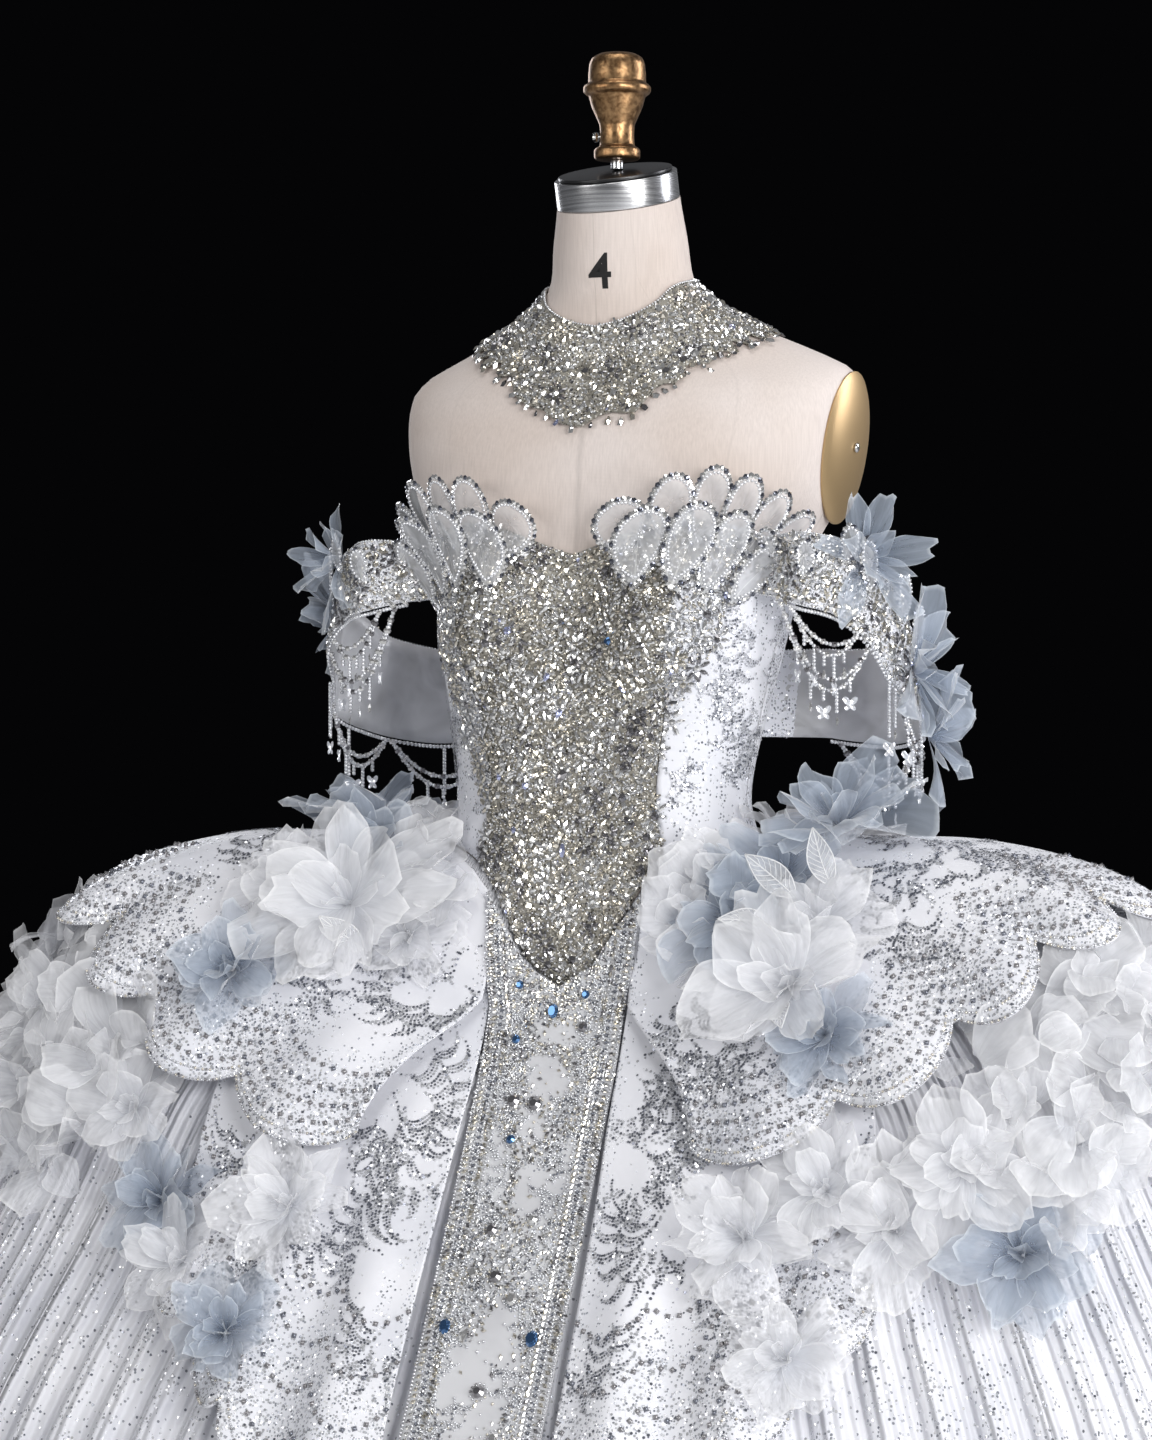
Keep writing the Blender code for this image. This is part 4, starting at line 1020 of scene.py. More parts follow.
def build_arm_plate(side, end):
    middle = ARM_X + SEAM_GAP
    half_height, half_depth, dome = 0.0625, 0.047, 0.01
    steps = [index / 14 for index in range(14, -1, -1)]
    profile = [(0.0, 0.0), (1.0, 0.0)]
    profile += [(part, 0.0014 + (dome - 0.0014) * (1 - part ** 2.4) ** 0.8) for part in steps]
    lay = Matrix(((0.0, side * ARM_LEAN * half_height, side, side * middle),
                  (half_depth, 0.0, 0.0, ARM_Y), (0.0, half_height, 0.0, ARM_Z), (0.0, 0.0, 0.0, 1.0)))
    turned("arm_plate_%s_brass" % end, profile, satin_brass, "satin_brass",
           ["arm_plate_" + end], lay, 96)
    screw = [(0.0, 0.0), (0.0042, 0.0), (0.004, 0.0016), (0.0022, 0.0026), (0.0, 0.0028)]
    turn = Matrix.Rotation(side * (pi / 2 + atan(ARM_LEAN)), 4, "Y")
    seat = Matrix.Translation((side * (middle + dome + SEAM_GAP), ARM_Y, ARM_Z))
    turned("arm_screw_%s_steel" % end, rounded(screw, 0.0006), polished_screw_steel,
           "brushed_steel", ["arm_screw_" + end], seat @ turn, 32)


def build_stand():
    turned("stand_pole_coated", disc(POLE_RADIUS, BASE_HEIGHT + SEAM_GAP, FORM_FOOT - SEAM_GAP, 0.001),
           black_powder_coat, "black_lacquer", ["stand_pole"], None, 48)
    base = [(0.0, 0.0), (BASE_RADIUS, 0.0), (BASE_RADIUS, BASE_HEIGHT * 0.55),
            (BASE_RADIUS - 0.012, BASE_HEIGHT * 0.85), (0.04, BASE_HEIGHT), (0.0, BASE_HEIGHT)]
    turned("stand_base_coated", rounded(base, 0.003), black_powder_coat, "black_lacquer",
           ["stand_base"], None, 96)


# ---- stones, beads and sequins
CLEAR = (0.9, 0.89, 0.87)
SMOKE = (0.3, 0.29, 0.3)
CHAMPAGNE = (0.78, 0.73, 0.63)
IRIS = (0.62, 0.66, 0.95)
SAPPHIRE = (0.08, 0.19, 0.4)
SILVER = (0.78, 0.79, 0.82)
DARK_SILVER = (0.2, 0.21, 0.25)
WHITE = (0.9, 0.91, 0.94)

ROUND = cut_stone(6, 0.3, 0.55)
BRILLIANT = cut_stone(10, 0.55, 0.55)
NAVETTE = cut_stone(6, 0.26, 0.3, narrow=0.42)
TEARDROP = cut_stone(6, 0.28, 0.36, narrow=0.58, taper=0.42)
BAGUETTE = cut_stone(4, 0.36, 0.4, narrow=0.6)
OCTAGON = cut_stone(8, 0.66, 0.5, narrow=0.74)
# an octahedron, which smooth shading makes a round bead at a bead's size
SEED = bead_shape(4, 2)
HUNG_BEAD = bead_shape(6, 3)
SEQUIN = sequin_shape()
UPWARD = np.array((0.0, 0.0, 1.0))


def pick(rng, count, choices):
    """A random tint for each of some pieces, from (tint, weight) rows."""
    weights = np.array([weight for _, weight in choices], float)
    found = rng.choice(len(choices), count, p=weights / weights.sum())
    tints = np.array([tint for tint, _ in choices])[found]
    return tints * rng.uniform(0.82, 1.06, (count, 1))


STONE_TINTS = [(CLEAR, 46), (CHAMPAGNE, 28), (SMOKE, 24), (IRIS, 1)]
SEED_TINTS = [(SILVER, 5), (CHAMPAGNE, 3), (SMOKE, 2), (WHITE, 2)]
SEQUIN_TINTS = [(SILVER, 6), (WHITE, 4), (DARK_SILVER, 1)]
LEAF_TINTS = [(DARK_SILVER, 4), (SILVER, 4), (WHITE, 1)]


def strewn(points, pitch, seed, keep=None, loose=0.16):
    """Shares across and down, evenly but loosely spaced over a cloth, where keep says so."""
    rng = default_rng(seed)
    rows = max(int(np.linalg.norm(np.diff(points, axis=0), axis=2).sum(0).mean() / (pitch * 0.87)), 1)
    found = []
    for row in range(rows):
        line = np.linspace(0, 1, points.shape[1])
        at = between(points, np.full(len(line), (row + 0.5) / rows * (points.shape[0] - 1)),
                     line * (points.shape[1] - 1))
        run = run_of(at)
        count = max(int(run[-1] / pitch), 1)
        places = (np.arange(count) + 0.25 + 0.5 * (row % 2)) / count * run[-1]
        places += rng.normal(0, loose * pitch, count)
        down = (row + 0.5 + rng.normal(0, loose, count)) / rows
        found.append(np.c_[np.interp(places, run, line), down])
    found = np.concatenate(found)
    found = found[(found >= 0).all(1) & (found <= 1).all(1)]
    if keep is not None:
        found = found[keep(found[:, 0], found[:, 1], rng)]
    return found[:, 0], found[:, 1]


def moved(points, across, down, aside, below):
    """Shares moved by distances in metres aside and below on a cloth."""
    over, fall = [np.maximum(np.linalg.norm(step, axis=-1), 1e-6)
                  for step in steps_on(points, across, down)[2:]]
    return across + aside / over / (points.shape[1] - 1), down + below / fall / (points.shape[0] - 1)


def crystals(name, groups):
    many(name, groups, foil_backed_crystal, "glass_beads")


def glass_beads(name, groups, nodes=()):
    many(name, groups, silver_lined_glass_beads, "glass_beads", nodes, True)


def run_of(line):
    """The length along a line of points up to each one."""
    return np.concatenate([[0], np.cumsum(np.linalg.norm(np.diff(line, axis=0), axis=1))])


def spaced(line, pitch, first):
    """Points at a pitch along a line of points; first is a share of the pitch."""
    run = run_of(line)
    count = int(run[-1] / pitch)
    along = (np.arange(count) + first) / count * run[-1]
    return np.stack([np.interp(along, run, line[:, axis]) for axis in range(3)], axis=1)


def set_stone(points, lift, across, down, shape, half, tint):
    """One upright stone in a place of its own on a cloth, as a group for many()."""
    place, normal, over = on_cloth(points, [across], [down], lift)
    return shape, place, axes_on(normal, over, -pi / 2), half, tint


def stone_field(name, points, pitch, seed, keep, seeds=(), special=()):
    """Crowd a cloth with star-bursts of long stones round larger ones, stones between, and seeds.

    keep(across, down, rng) says which places are covered. special holds stones that have a place
    of their own: across, down, shape, half length, tint. seeds are more groups of small beads.
    """
    rng = default_rng(seed)
    groups = [set_stone(points, 0.0022, *stone) for stone in special]
    cu, cv = strewn(points, pitch * 3.4, seed + 1, keep, 0.2)
    plain = len(cu)
    cu, cv = np.r_[cu, [row[0] for row in special]], np.r_[cv, [row[1] for row in special]]
    centres, normal, over = on_cloth(points, cu, cv, 0.0012)
    size = rng.uniform(0.0026, 0.0038, len(cu))
    groups.append((ROUND, centres[:plain], axes_on(normal[:plain], over[:plain], 0.0), size[:plain],
                   pick(rng, plain, STONE_TINTS)))
    rays = rng.integers(6, 9, len(cu))
    owner = np.repeat(np.arange(len(cu)), rays)
    shades = pick(rng, len(cu), [(CLEAR, 5), (CHAMPAGNE, 3), (SMOKE, 1)])[owner] * 1.06
    spread = np.concatenate([(np.arange(count) + 0.5 * (count % 2)) / count for count in rays]) * tau
    half = rng.uniform(0.0034, 0.0048, len(owner))
    reach = size[owner] + half + 0.0004
    u, v = moved(points, cu[owner], cv[owner], reach * np.cos(spread), reach * np.sin(spread))
    inside = (u > 0) & (u < 1) & (v > 0) & (v < 1)
    half, shades = half[inside], shades[inside]
    between_stars = strewn(points, pitch * 0.7, seed + 2, keep, 0.22)
    for number, (across, down) in enumerate(((u[inside], v[inside]), between_stars)):
        place, normal, over = on_cloth(points, across, down, 0.0007 - 0.0003 * number)
        apart = place[:, None] - centres[None]
        nearest = np.linalg.norm(apart, axis=2).argmin(1)
        away = apart[np.arange(len(place)), nearest]
        up = np.cross(normal, over)
        turn = np.arctan2((away * up).sum(1), (away * over).sum(1)) + rng.normal(0, 0.08, len(place))
        axes = axes_on(unit(normal + rng.normal(0, 0.09, normal.shape)), over, turn)
        if not number:
            long = rng.uniform(0, 1, len(place)) < 0.7
            groups += [(shape, place[some], axes[some], half[some], shades[some])
                       for shape, some in ((NAVETTE, long), (TEARDROP, ~long))]
            continue
        clear = np.linalg.norm(away, axis=1) > 0.0106
        kinds = rng.choice(3, len(place), p=(0.4, 0.4, 0.2))
        for kind, (shape, low, high) in enumerate(((TEARDROP, 0.0019, 0.003), (ROUND, 0.0011, 0.0021),
                                                   (BAGUETTE, 0.0016, 0.0025))):
            some = clear & (kinds == kind)
            groups.append((shape, place[some], axes[some], rng.uniform(low, high, some.sum()),
                           pick(rng, some.sum(), STONE_TINTS)))
    crystals(name + "_stones", groups)
    u, v = strewn(points, pitch * 0.68, seed + 3, keep, 0.25)
    place, normal, over = on_cloth(points, u, v, 0.0003)
    glass_beads(name + "_seed_beads", [
        (SEED, place, axes_on(normal, over, 0.0), rng.uniform(0.0009, 0.0015, len(u)),
         pick(rng, len(u), SEED_TINTS)), *seeds])


def beads_along(points, across, down, pitch, size, tints, seed, lift=0.0004, shape=SEED):
    """Small round beads or stones at a spacing along a line of shares on a cloth."""
    rng = default_rng(seed)
    across, down = np.broadcast_arrays(across, down)
    run = run_of(on_cloth(points, across, down)[0])
    count = max(int(run[-1] / pitch), 1)
    along = (np.arange(count) + 0.5) / count * run[-1]
    place, normal, over = on_cloth(points, np.interp(along, run, across), np.interp(along, run, down), lift)
    return shape, place, axes_on(normal, over, rng.uniform(0, 3, count)), size, pick(rng, count, tints)


# ---- bodice and collar
# name, first column, last column; a column is one of the torso's 40
BODICE_PIECES = [
    ("bodice_front", -4, 4), ("bodice_side_front_left", 4, 10),
    ("bodice_side_front_right", -10, -4), ("bodice_side_back_left", 10, 15),
    ("bodice_side_back_right", -15, -10), ("bodice_back_left", 15, 19),
    ("bodice_back_right", -19, -15), ("bodice_placket", 19, 21),
]
SEAM_TURN = 0.0022
# height, half angle of the beaded front; right of the middle, then left of it
BEADED_HALF = [
    (0.93, 3, 3), (0.955, 9.5, 9.5), (0.98, 16, 16), (1.03, 27, 25), (1.09, 42, 35),
    (1.134, 52, 38), (1.18, 56, 48), (1.215, 60, 57), (1.32, 64, 62),
]


def bodice_grid(first, last, columns, rows, out):
    """A grid on the bodice between two angles, from its top edge down."""
    across, down = shares(columns, rows)
    angle = first + (last - first) * across
    return on_each(
        lambda turn, part: bodice_point(
            turn, bodice_foot(turn) + (bodice_top(turn) - bodice_foot(turn)) * (1 - part), out),
        angle, down,
    ), angle


def beaded_part(angle, height):
    """1 well inside the beaded front, 0 outside it, soft over about 8 degrees."""
    rows = np.array(BEADED_HALF)
    degrees = np.degrees(angle)
    right = np.interp(height, rows[:, 0], rows[:, 1])
    left = np.interp(height, rows[:, 0], rows[:, 2])
    half = np.where(degrees < 0, right, left)
    return 1 - smooth(np.abs(degrees), half - 7, half + 1)


def build_bodice():
    for name, first, last in BODICE_PIECES:
        turn = tau / COLUMNS
        front = name == "bodice_front"
        rise = CORSET + (0.001 if front else 0.0)
        points, angle = bodice_grid(first * turn + SEAM_TURN, last * turn - SEAM_TURN,
                                    (last - first) * 4, 40, rise)
        beaded = beaded_part(angle, points[..., 2])
        curls = np.clip(noise(angle * 26, points[..., 2] * 60, 5) * 1.3 + 0.1, 0, 1)
        lace = 0.1 + 0.55 * curls
        made = cloth(name + "_lace", points, beaded_net_ground if front else glittered_satin,
                     "beaded_tulle" if front else "glitter_lace", [name], LACE_WALL, np.maximum(lace, beaded))


# leaf sprays on the bodice's sides: share round from the beading, down it, turn, length
BODICE_SPRAYS = [
    (0.42, 0.16, 0.5, 0.08), (0.58, 0.34, -0.6, 0.085), (0.4, 0.5, 0.6, 0.075), (0.64, 0.58, 0.3, 0.08),
    (0.34, 0.7, -0.4, 0.06), (0.82, 0.22, 0.3, 0.08), (0.88, 0.56, -0.4, 0.075),
]
# stones with places of their own: across the front, down it, shape, half length, tint
BODICE_STARS = [
    (0.394, 0.333, NAVETTE, 0.0046, CLEAR), (0.515, 0.278, BRILLIANT, 0.0042, CLEAR),
    (0.621, 0.356, NAVETTE, 0.0046, CHAMPAGNE), (0.455, 0.311, TEARDROP, 0.004, IRIS),
    (0.659, 0.43, NAVETTE, 0.004, IRIS), (0.485, 0.38, TEARDROP, 0.0046, IRIS),
    (0.63, 0.29, BRILLIANT, 0.0036, SAPPHIRE), (0.364, 0.27, BRILLIANT, 0.0034, IRIS),
    (0.492, 0.522, TEARDROP, 0.0072, SMOKE), (0.5, 0.689, NAVETTE, 0.0062, IRIS),
    (0.5, 0.8, OCTAGON, 0.005, CLEAR), (0.5, 0.88, TEARDROP, 0.005, CHAMPAGNE),
    (0.455, 0.15, TEARDROP, 0.005, CLEAR), (0.576, 0.16, TEARDROP, 0.005, CHAMPAGNE),
]


def sided(sprays, side):
    """Sprays in (across, down, turn, length) rows, turned over for the form's right side."""
    return [(part if side > 0 else 1 - part, place, turn * side, length)
            for part, place, turn, length in sprays]


def build_bodice_stones(pitch):
    half = radians(66)
    grid, _ = bodice_grid(-half, half, 132, 90, CORSET + 0.0012)

    def keep(across, down, rng):
        part = beaded_part(half * (2 * across - 1), between(grid, down * 90, across * 132)[..., 2])
        toothed = radians(36.5) + radians(4) * noise(across * 40, down * 22, 21)
        front = np.abs(half * (2 * across - 1)) < toothed
        return (part > 0.12 + rng.uniform(0, 0.5, len(part))) | front

    stone_field("bodice_front", grid, pitch, 20, keep, special=BODICE_STARS)
    for side, end in HANDS:
        grid, _ = bodice_grid(side * radians(24), side * radians(96), 90, 70, CORSET + 0.0014)
        if side < 0:
            grid = grid[:, ::-1]
        rows = [embroidered(grid, sided(BODICE_SPRAYS, side), 26, 0.0011,
                            [(SILVER, 5), (DARK_SILVER, 3), (WHITE, 3)])]
        many("bodice_spray_%s_sequins" % end, rows, silvered_sequins, "glitter_lace")


def build_collar(pitch):
    columns, rows = 160, 14
    across, down = shares(columns, rows)
    angle = (across - 0.5) * tau

    def at(turn, part):
        top, foot = smooth_row(COLLAR, from_front(turn))
        foot += 0.003 * abs(sin(20 * turn)) ** 0.8 + 0.0035 * sin(33 * turn)
        stand = 0.0042 - 0.0018 * ramp(1 - part, 0.7, 1.0)
        return torso_point(turn, top + (foot - top) * part, stand)

    points = on_each(at, angle, down)
    made = cloth("collar_net", points, beaded_net_ground, "beaded_tulle", ["collar"],
                 LACE_WALL, np.ones_like(across), True)
    line = np.linspace(0, 1, columns + 1)
    rows = [beads_along(points, line, 0.0, 0.0026, 0.0013, [(WHITE, 1)], 35)]
    stone_field("collar", points, pitch, 30, lambda u, v, rng: (v > 0.07) & (v < 0.97), seeds=rows)
    rng = default_rng(36)
    count = 150
    place, normal, over = on_cloth(points, (np.arange(count) + 0.5) / count, 1.0, 0.0004)
    place[:, 2] -= 0.001 + rng.uniform(0, 1, count) ** 2 * 0.007
    axes = axes_on(normal, over, pi / 2 + rng.normal(0, 0.3, count))
    crystals("collar_edge_drops", [(TEARDROP, place, axes, rng.uniform(0.003, 0.0052, count),
                                    pick(rng, count, STONE_TINTS))])


# ---- neckline petals
PETAL_ROUND = 32


def petal_loop(part, width, height):
    """Where a teardrop's rim is at a share of its way round: aside, and up from its point."""
    turn = tau * part
    return 0.6 * width * sin(turn) * abs(sin(turn / 2)) ** 0.5, height * (1 - cos(turn)) / 2


def rim_rows(loops, pitch, size, shape, tints, seed):
    """Stones or beads at a pitch along closed lines, as groups for many()."""
    rng = default_rng(seed)
    groups = []
    for loop in loops:
        place = spaced(np.array([point[:] for point in loop + loop[:1]]), pitch, 0)
        count = len(place)
        way = unit(np.roll(place, -1, axis=0) - np.roll(place, 1, axis=0))
        out = unit(place * (1, 1, 0) - np.array([0.0, 0.02, 0.0]))
        axes = axes_on(unit(out - way * (out * way).sum(1, keepdims=True)), way, 0.0)
        shades = np.array(tints)[np.arange(count) % len(tints)]
        groups.append((shape, place, axes, rng.uniform(0.93, 1.07, count) * size, shades))
    return groups


def looped_petals(name, petals, nodes, flipped):
    """Sheer petals with a wired rim of stones and a row of seeds; each is at(part round, reach)."""
    bm = bmesh.new()
    rims, inner = [], []
    for at in petals:
        around, reach = shares(PETAL_ROUND, 8)
        points = on_each(at, 1 - around if flipped else around, 0.02 + 0.98 * reach)
        made = add_grid(bm, points)
        bmesh.ops.remove_doubles(bm, verts=made, dist=MERGE)
        rims.append([at(part / 56, 1.0) for part in range(56)])
        inner.append([at(part / 56, 0.84) for part in range(56)])
    made = piece(bm, name + "_organza", wired_petal_organza, "wired_organza", nodes)
    crystals(name + "_rim_stones", rim_rows(rims, 0.0044, 0.0026, ROUND, (CLEAR, CLEAR, DARK_SILVER), 5))
    glass_beads(name + "_seed_row", rim_rows(inner, 0.0032, 0.0018, SEED, (WHITE,), 6))


def turned_petal(part, reach, wide, tall, fan):
    """Where a petal's point is: along the cloth and up it, and how far up the petal itself."""
    aside, up = petal_loop(part, wide, tall)
    aside, up = aside * reach, tall * 0.6 + (up - tall * 0.6) * reach
    return aside * cos(fan) + up * sin(fan), up * cos(fan) - aside * sin(fan), up


def build_frill(side, end, row_name):
    """A row of petals that fan out along the neckline."""
    count, first, last, drop, height, lean, sit = FRILLS[row_name]
    rng = default_rng(7 + side + 3 * count)
    step = (last - first) / count
    wide = radians(step) * NECKLINE_RADIUS * 1.2
    petals = []
    for number in range(count):
        middle = first + (number + 0.5) * step
        tall = height * (1.06 - 0.16 * (2 * (number + 0.5) / count - 1) ** 2) * rng.uniform(0.96, 1.06)
        fan = radians((number - 0.5 * (count - 1)) * 9 + rng.uniform(-6, 6))
        layer = 0.003 * (number % 2) + 0.0008

        def at(part, reach, middle=middle, tall=tall, fan=fan, layer=layer):
            along, rise, up = turned_petal(part, reach, wide, tall, fan)
            degrees = middle + in_degrees(along / NECKLINE_RADIUS)
            stand = CORSET + sit + BEAD_RISE * (1 - ramp(degrees, 27, 38)) + layer
            angle = side * radians(degrees)
            out = stand + lean * (0.94 * max(up, 0) / height) ** 1.4 + 0.004 * (1 - reach * reach) ** 0.8
            return bodice_point(angle, bodice_top(angle) - drop + rise, out)

        petals.append(at)
    name = "petal_frill_%s_%s" % (row_name, end)
    looped_petals(name, petals, [name], side < 0)


# petals on a sleeve: share along it, up it, width, height, lean in degrees
SLEEVE_PETALS = [
    (0.07, 0.62, 0.026, 0.04, -24), (0.16, 0.4, 0.022, 0.038, 14), (0.27, 0.72, 0.02, 0.04, 22),
    (0.35, 0.6, 0.022, 0.042, -6), (0.45, 0.66, 0.018, 0.038, 24), (0.52, 0.62, 0.018, 0.038, 34),
]


def build_sleeve_petals(side, end):
    petals = []
    for share, foot, wide, tall, degrees in SLEEVE_PETALS:
        def at(part, reach, share=share, foot=foot, wide=wide, tall=tall, fan=radians(degrees)):
            along, rise, up = turned_petal(part, reach, wide, tall, fan)
            out = SLEEVE_WALL + 0.0042 + 0.22 * up + 0.003 * (1 - reach * reach) ** 0.8
            return sleeve_point(side, share + along / SLEEVE_LENGTH, foot + rise / SLEEVE_DEPTH, out)

        petals.append(at)
    looped_petals("sleeve_petals_" + end, petals, (), side < 0)


# ---- drop sleeves and their swags
def sleeve_grid(side, columns, rows, out):
    """A grid on the sleeve, from its top edge down, its ends carried in to the bodice."""
    across, down = shares(columns, rows)
    share = across if side > 0 else 1 - across

    def at(part, fall):
        swell = 0.003 * sin(pi * part) * cos(tau * 6 * part)
        point = sleeve_point(side, part, 1 - fall, out + swell)
        for end, angle in ((0.0, SLEEVE_FRONT), (1.0, SLEEVE_BACK)):
            pull = 1 - abs(part - end) * 20
            if pull > 0:
                point = point.lerp(bodice_point(side * angle, point.z, CORSET + 0.0009), pull)
        return point

    return on_each(at, share, down), share


def build_sleeve(side, end, pitch):
    points, share = sleeve_grid(side, 90, 18, SLEEVE_WALL)
    down = np.linspace(0, 1, 19)[:, None]
    front = 1 - smooth(share, 0.42, 0.6)
    edges = 1 - smooth(np.minimum(down, 1 - down) * np.ones_like(share), 0.04, 0.16)
    curls = np.clip(noise(share * 34, down * 7 + 0 * share, 8) * 1.2, 0, 1)
    outer = cloth("sleeve_%s_lace" % end, points, glittered_satin, "beaded_tulle",
                  ["sleeve_" + end], 0.0007, np.clip(0.15 + 0.8 * front + 0.5 * edges + 0.5 * curls, 0, 1))
    inner, _ = sleeve_grid(side, 70, 8, SLEEVE_WALL - 0.0013)
    lining = cloth("sleeve_%s_lining" % end, inner[:, ::-1], ivory_duchess_satin,
                   "beaded_tulle", (), 0.0005)

    def keep(across, fall, rng):
        part = across if side > 0 else 1 - across
        return rng.uniform(0, 1, len(part)) < 1.05 - smooth(part, 0.4, 0.75) * 0.92

    rows = [beads_along(points, np.linspace(0, 1, 91), level, 0.0027, 0.0013, [(WHITE, 1)], 44)
            for level in (0.0, 0.03, 0.985)]
    stone_field("sleeve_" + end, points, pitch, 40, keep, seeds=rows)


BUTTERFLY_HALF = 0.0072


def charm_shape():
    """A small flat butterfly with two pairs of wings and a body."""
    bm = bmesh.new()
    for side in (1, -1):
        for lift, turn, size in ((0.42, 38, 0.62), (-0.32, -34, 0.46)):
            lay = Matrix.Translation((side * 0.5 * size / 0.62, lift, 0.0))
            lay = lay @ Matrix.Rotation(radians(side * turn), 4, "Z")
            lay = lay @ Matrix.Diagonal((size, size * 0.62, 1.0, 1.0))
            bmesh.ops.create_circle(bm, cap_ends=True, segments=8, radius=1.0, matrix=lay)
    for face in bmesh.ops.poke(bm, faces=bm.faces)["verts"]:
        face.co.z = 0.22
    body = Matrix.Diagonal((0.11, 0.62, 0.12, 1.0))
    bmesh.ops.create_uvsphere(bm, u_segments=6, v_segments=4, radius=1.0, matrix=body)
    return shape_of(bm)


def hang_routes(side):
    """Lines of the swags and of the straight drops, with where each charm hangs."""
    middle = Vector((0.0, 0.0, -0.0028))
    swags, drops = [], []
    for first, last, sag, swing in SWAGS:
        start = sleeve_point(side, first, 0.0, 0.0012) + middle
        stop = sleeve_point(side, last, 0.0, 0.0012) + middle
        away = Vector((start.y - stop.y, stop.x - start.x, 0.0)).normalized() * -side
        for ply in (0.0, 1.0):
            route = []
            for step in range(41):
                part = step / 40
                hang = 4 * part * (1 - part)
                fall = (sag - 0.009 * ply) * hang
                route.append(start.lerp(stop, part) + away * (swing + 0.002 * ply) * hang
                             - Vector((0, 0, fall)))
            swags.append(route)
            if not ply:
                for part in (8, 14, 20, 26, 32):
                    drops.append((route[part], 0.014 + 0.004 * (part % 4)))
    for share, length in DROPS:
        drops.append((sleeve_point(side, share, 0.0, 0.0012) + middle, length))
    return swags, drops


def build_fringe(side, end):
    rng = default_rng(60 + side)
    swags, drops = hang_routes(side)
    stones, seeds, charms = [], [], []
    for route in swags:
        place = spaced(np.array([point[:] for point in route]), 0.0031, 0.5)
        stones.append(place[::3])
        seeds.append(place[np.arange(len(place)) % 3 > 0])
    for start, length in drops:
        start = np.array(start[:])
        seeds.append(start - np.outer(np.arange(1, int(length / 0.0029)), (0, 0, 0.0029)))
        charms.append(start - (0, 0, length + 0.003))
    strip, share = sleeve_grid(side, 120, 1, 0.0012)
    rim = strip[1] - (0, 0, 0.0028)
    seeds.append(rim[(share[0] > 0.05) & (share[0] < 0.95)])
    stones, seeds, charms = np.concatenate(stones), np.concatenate(seeds), np.array(charms)
    facing = axes_on(unit(stones * (1, 1, 0)), UPWARD, 0.0)
    groups = [(HUNG_BEAD, stones, facing, 0.0027, pick(rng, len(stones), [(CLEAR, 3), (SMOKE, 1)]))]
    out = unit(charms * (1, 1, 0))
    turn = rng.uniform(-0.5, 0.5, len(charms))
    level = np.stack([-out[:, 1], out[:, 0], 0 * turn], axis=1)
    axes = axes_on(unit(out + level * turn[:, None]), level, 0.0)
    heavy = np.arange(len(charms)) % 2 == 0
    groups.append((TEARDROP, charms[~heavy], axes_on(axes[~heavy][:, :, 2], UPWARD, 0.0), 0.0042, CLEAR))
    straight = np.tile(np.eye(3), (len(seeds), 1, 1))
    glass_beads("bead_fringe_%s_beads" % end, [
        (HUNG_BEAD, seeds, straight, 0.0018, pick(rng, len(seeds), [(SILVER, 3), (WHITE, 2)])),
        (charm_shape(), charms[heavy] - (0, 0, 0.003), axes[heavy], BUTTERFLY_HALF, WHITE),
    ], ["bead_fringe_" + end])
    crystals("bead_fringe_%s_crystals" % end, groups)


# ---- skirt
PLEATS = 80
RIDGE_SEQUINS = 110
# name, first and last angle in degrees
SKIRT_PIECES = [
    ("skirt_front", -45, 45), ("skirt_left", 45, 135), ("skirt_back", 135, 225),
    ("skirt_right", -135, -45),
]


def pleat_depth(down):
    return 0.0012 + 0.013 * smooth(down, 0.05, 0.75)


def build_skirt():
    for name, first, last in SKIRT_PIECES:
        across, down = shares(160, 32)
        angle = np.radians(first + (last - first) * across)
        gap = 0.0003 / np.maximum(np.linalg.norm(skirt_at(angle, down, 0.0)[..., :2], axis=-1), 0.1)
        angle = angle + gap * (np.isclose(across, 0) * 1.0 - np.isclose(across, 1) * 1.0)
        wave = 0.5 - 0.5 * np.cos(PLEATS * angle)
        uneven = 1 + 0.25 * noise(angle * 9, down * 3, 61) * smooth(down, 0.1, 0.4)
        points = skirt_at(angle, down, -pleat_depth(down) * np.clip(wave ** 1.3 * uneven, 0, 1.0))
        points[-1, :, 2] = HEM_CLEAR
        ridge = 1 - wave
        dust = 0.2 * smooth(down, 0.38, 0.55) * (0.35 + ridge) + 0.3 * smooth(down, 0.94, 0.99)
        made = cloth(name + "_tulle", points, pleated_glitter_tulle, "pleated_tulle",
                     [name], LACE_WALL, np.clip(dust, 0, 1))


def build_skirt_sequins(size):
    """Sequins that run down the pleats' ridges, thicker towards the hem."""
    rng = default_rng(71)
    angle, down = [], []
    for pleat in range(PLEATS):
        down.append(rng.uniform(0.4, 0.99, RIDGE_SEQUINS) ** 0.8)
        angle.append(tau * pleat / PLEATS + rng.normal(0, 0.009, RIDGE_SEQUINS))
    angle, down = np.concatenate(angle), np.concatenate(down)
    wave = 0.5 - 0.5 * np.cos(PLEATS * angle)
    place = skirt_at(angle, down, 0.0008 - pleat_depth(down) * wave ** 1.3)
    normal = unit(skirt_at(angle, down, 0.01) - skirt_at(angle, down, 0.0))
    lean = unit(normal + rng.normal(0, 0.16, normal.shape))
    axes = axes_on(lean, UPWARD, 0.0)
    half = rng.uniform(0.55, 1.0, len(lean)) * size
    many("skirt_ridge_sequins", [(SEQUIN, place, axes, half, pick(rng, len(lean), SEQUIN_TINTS))],
         silvered_sequins, "pleated_tulle")


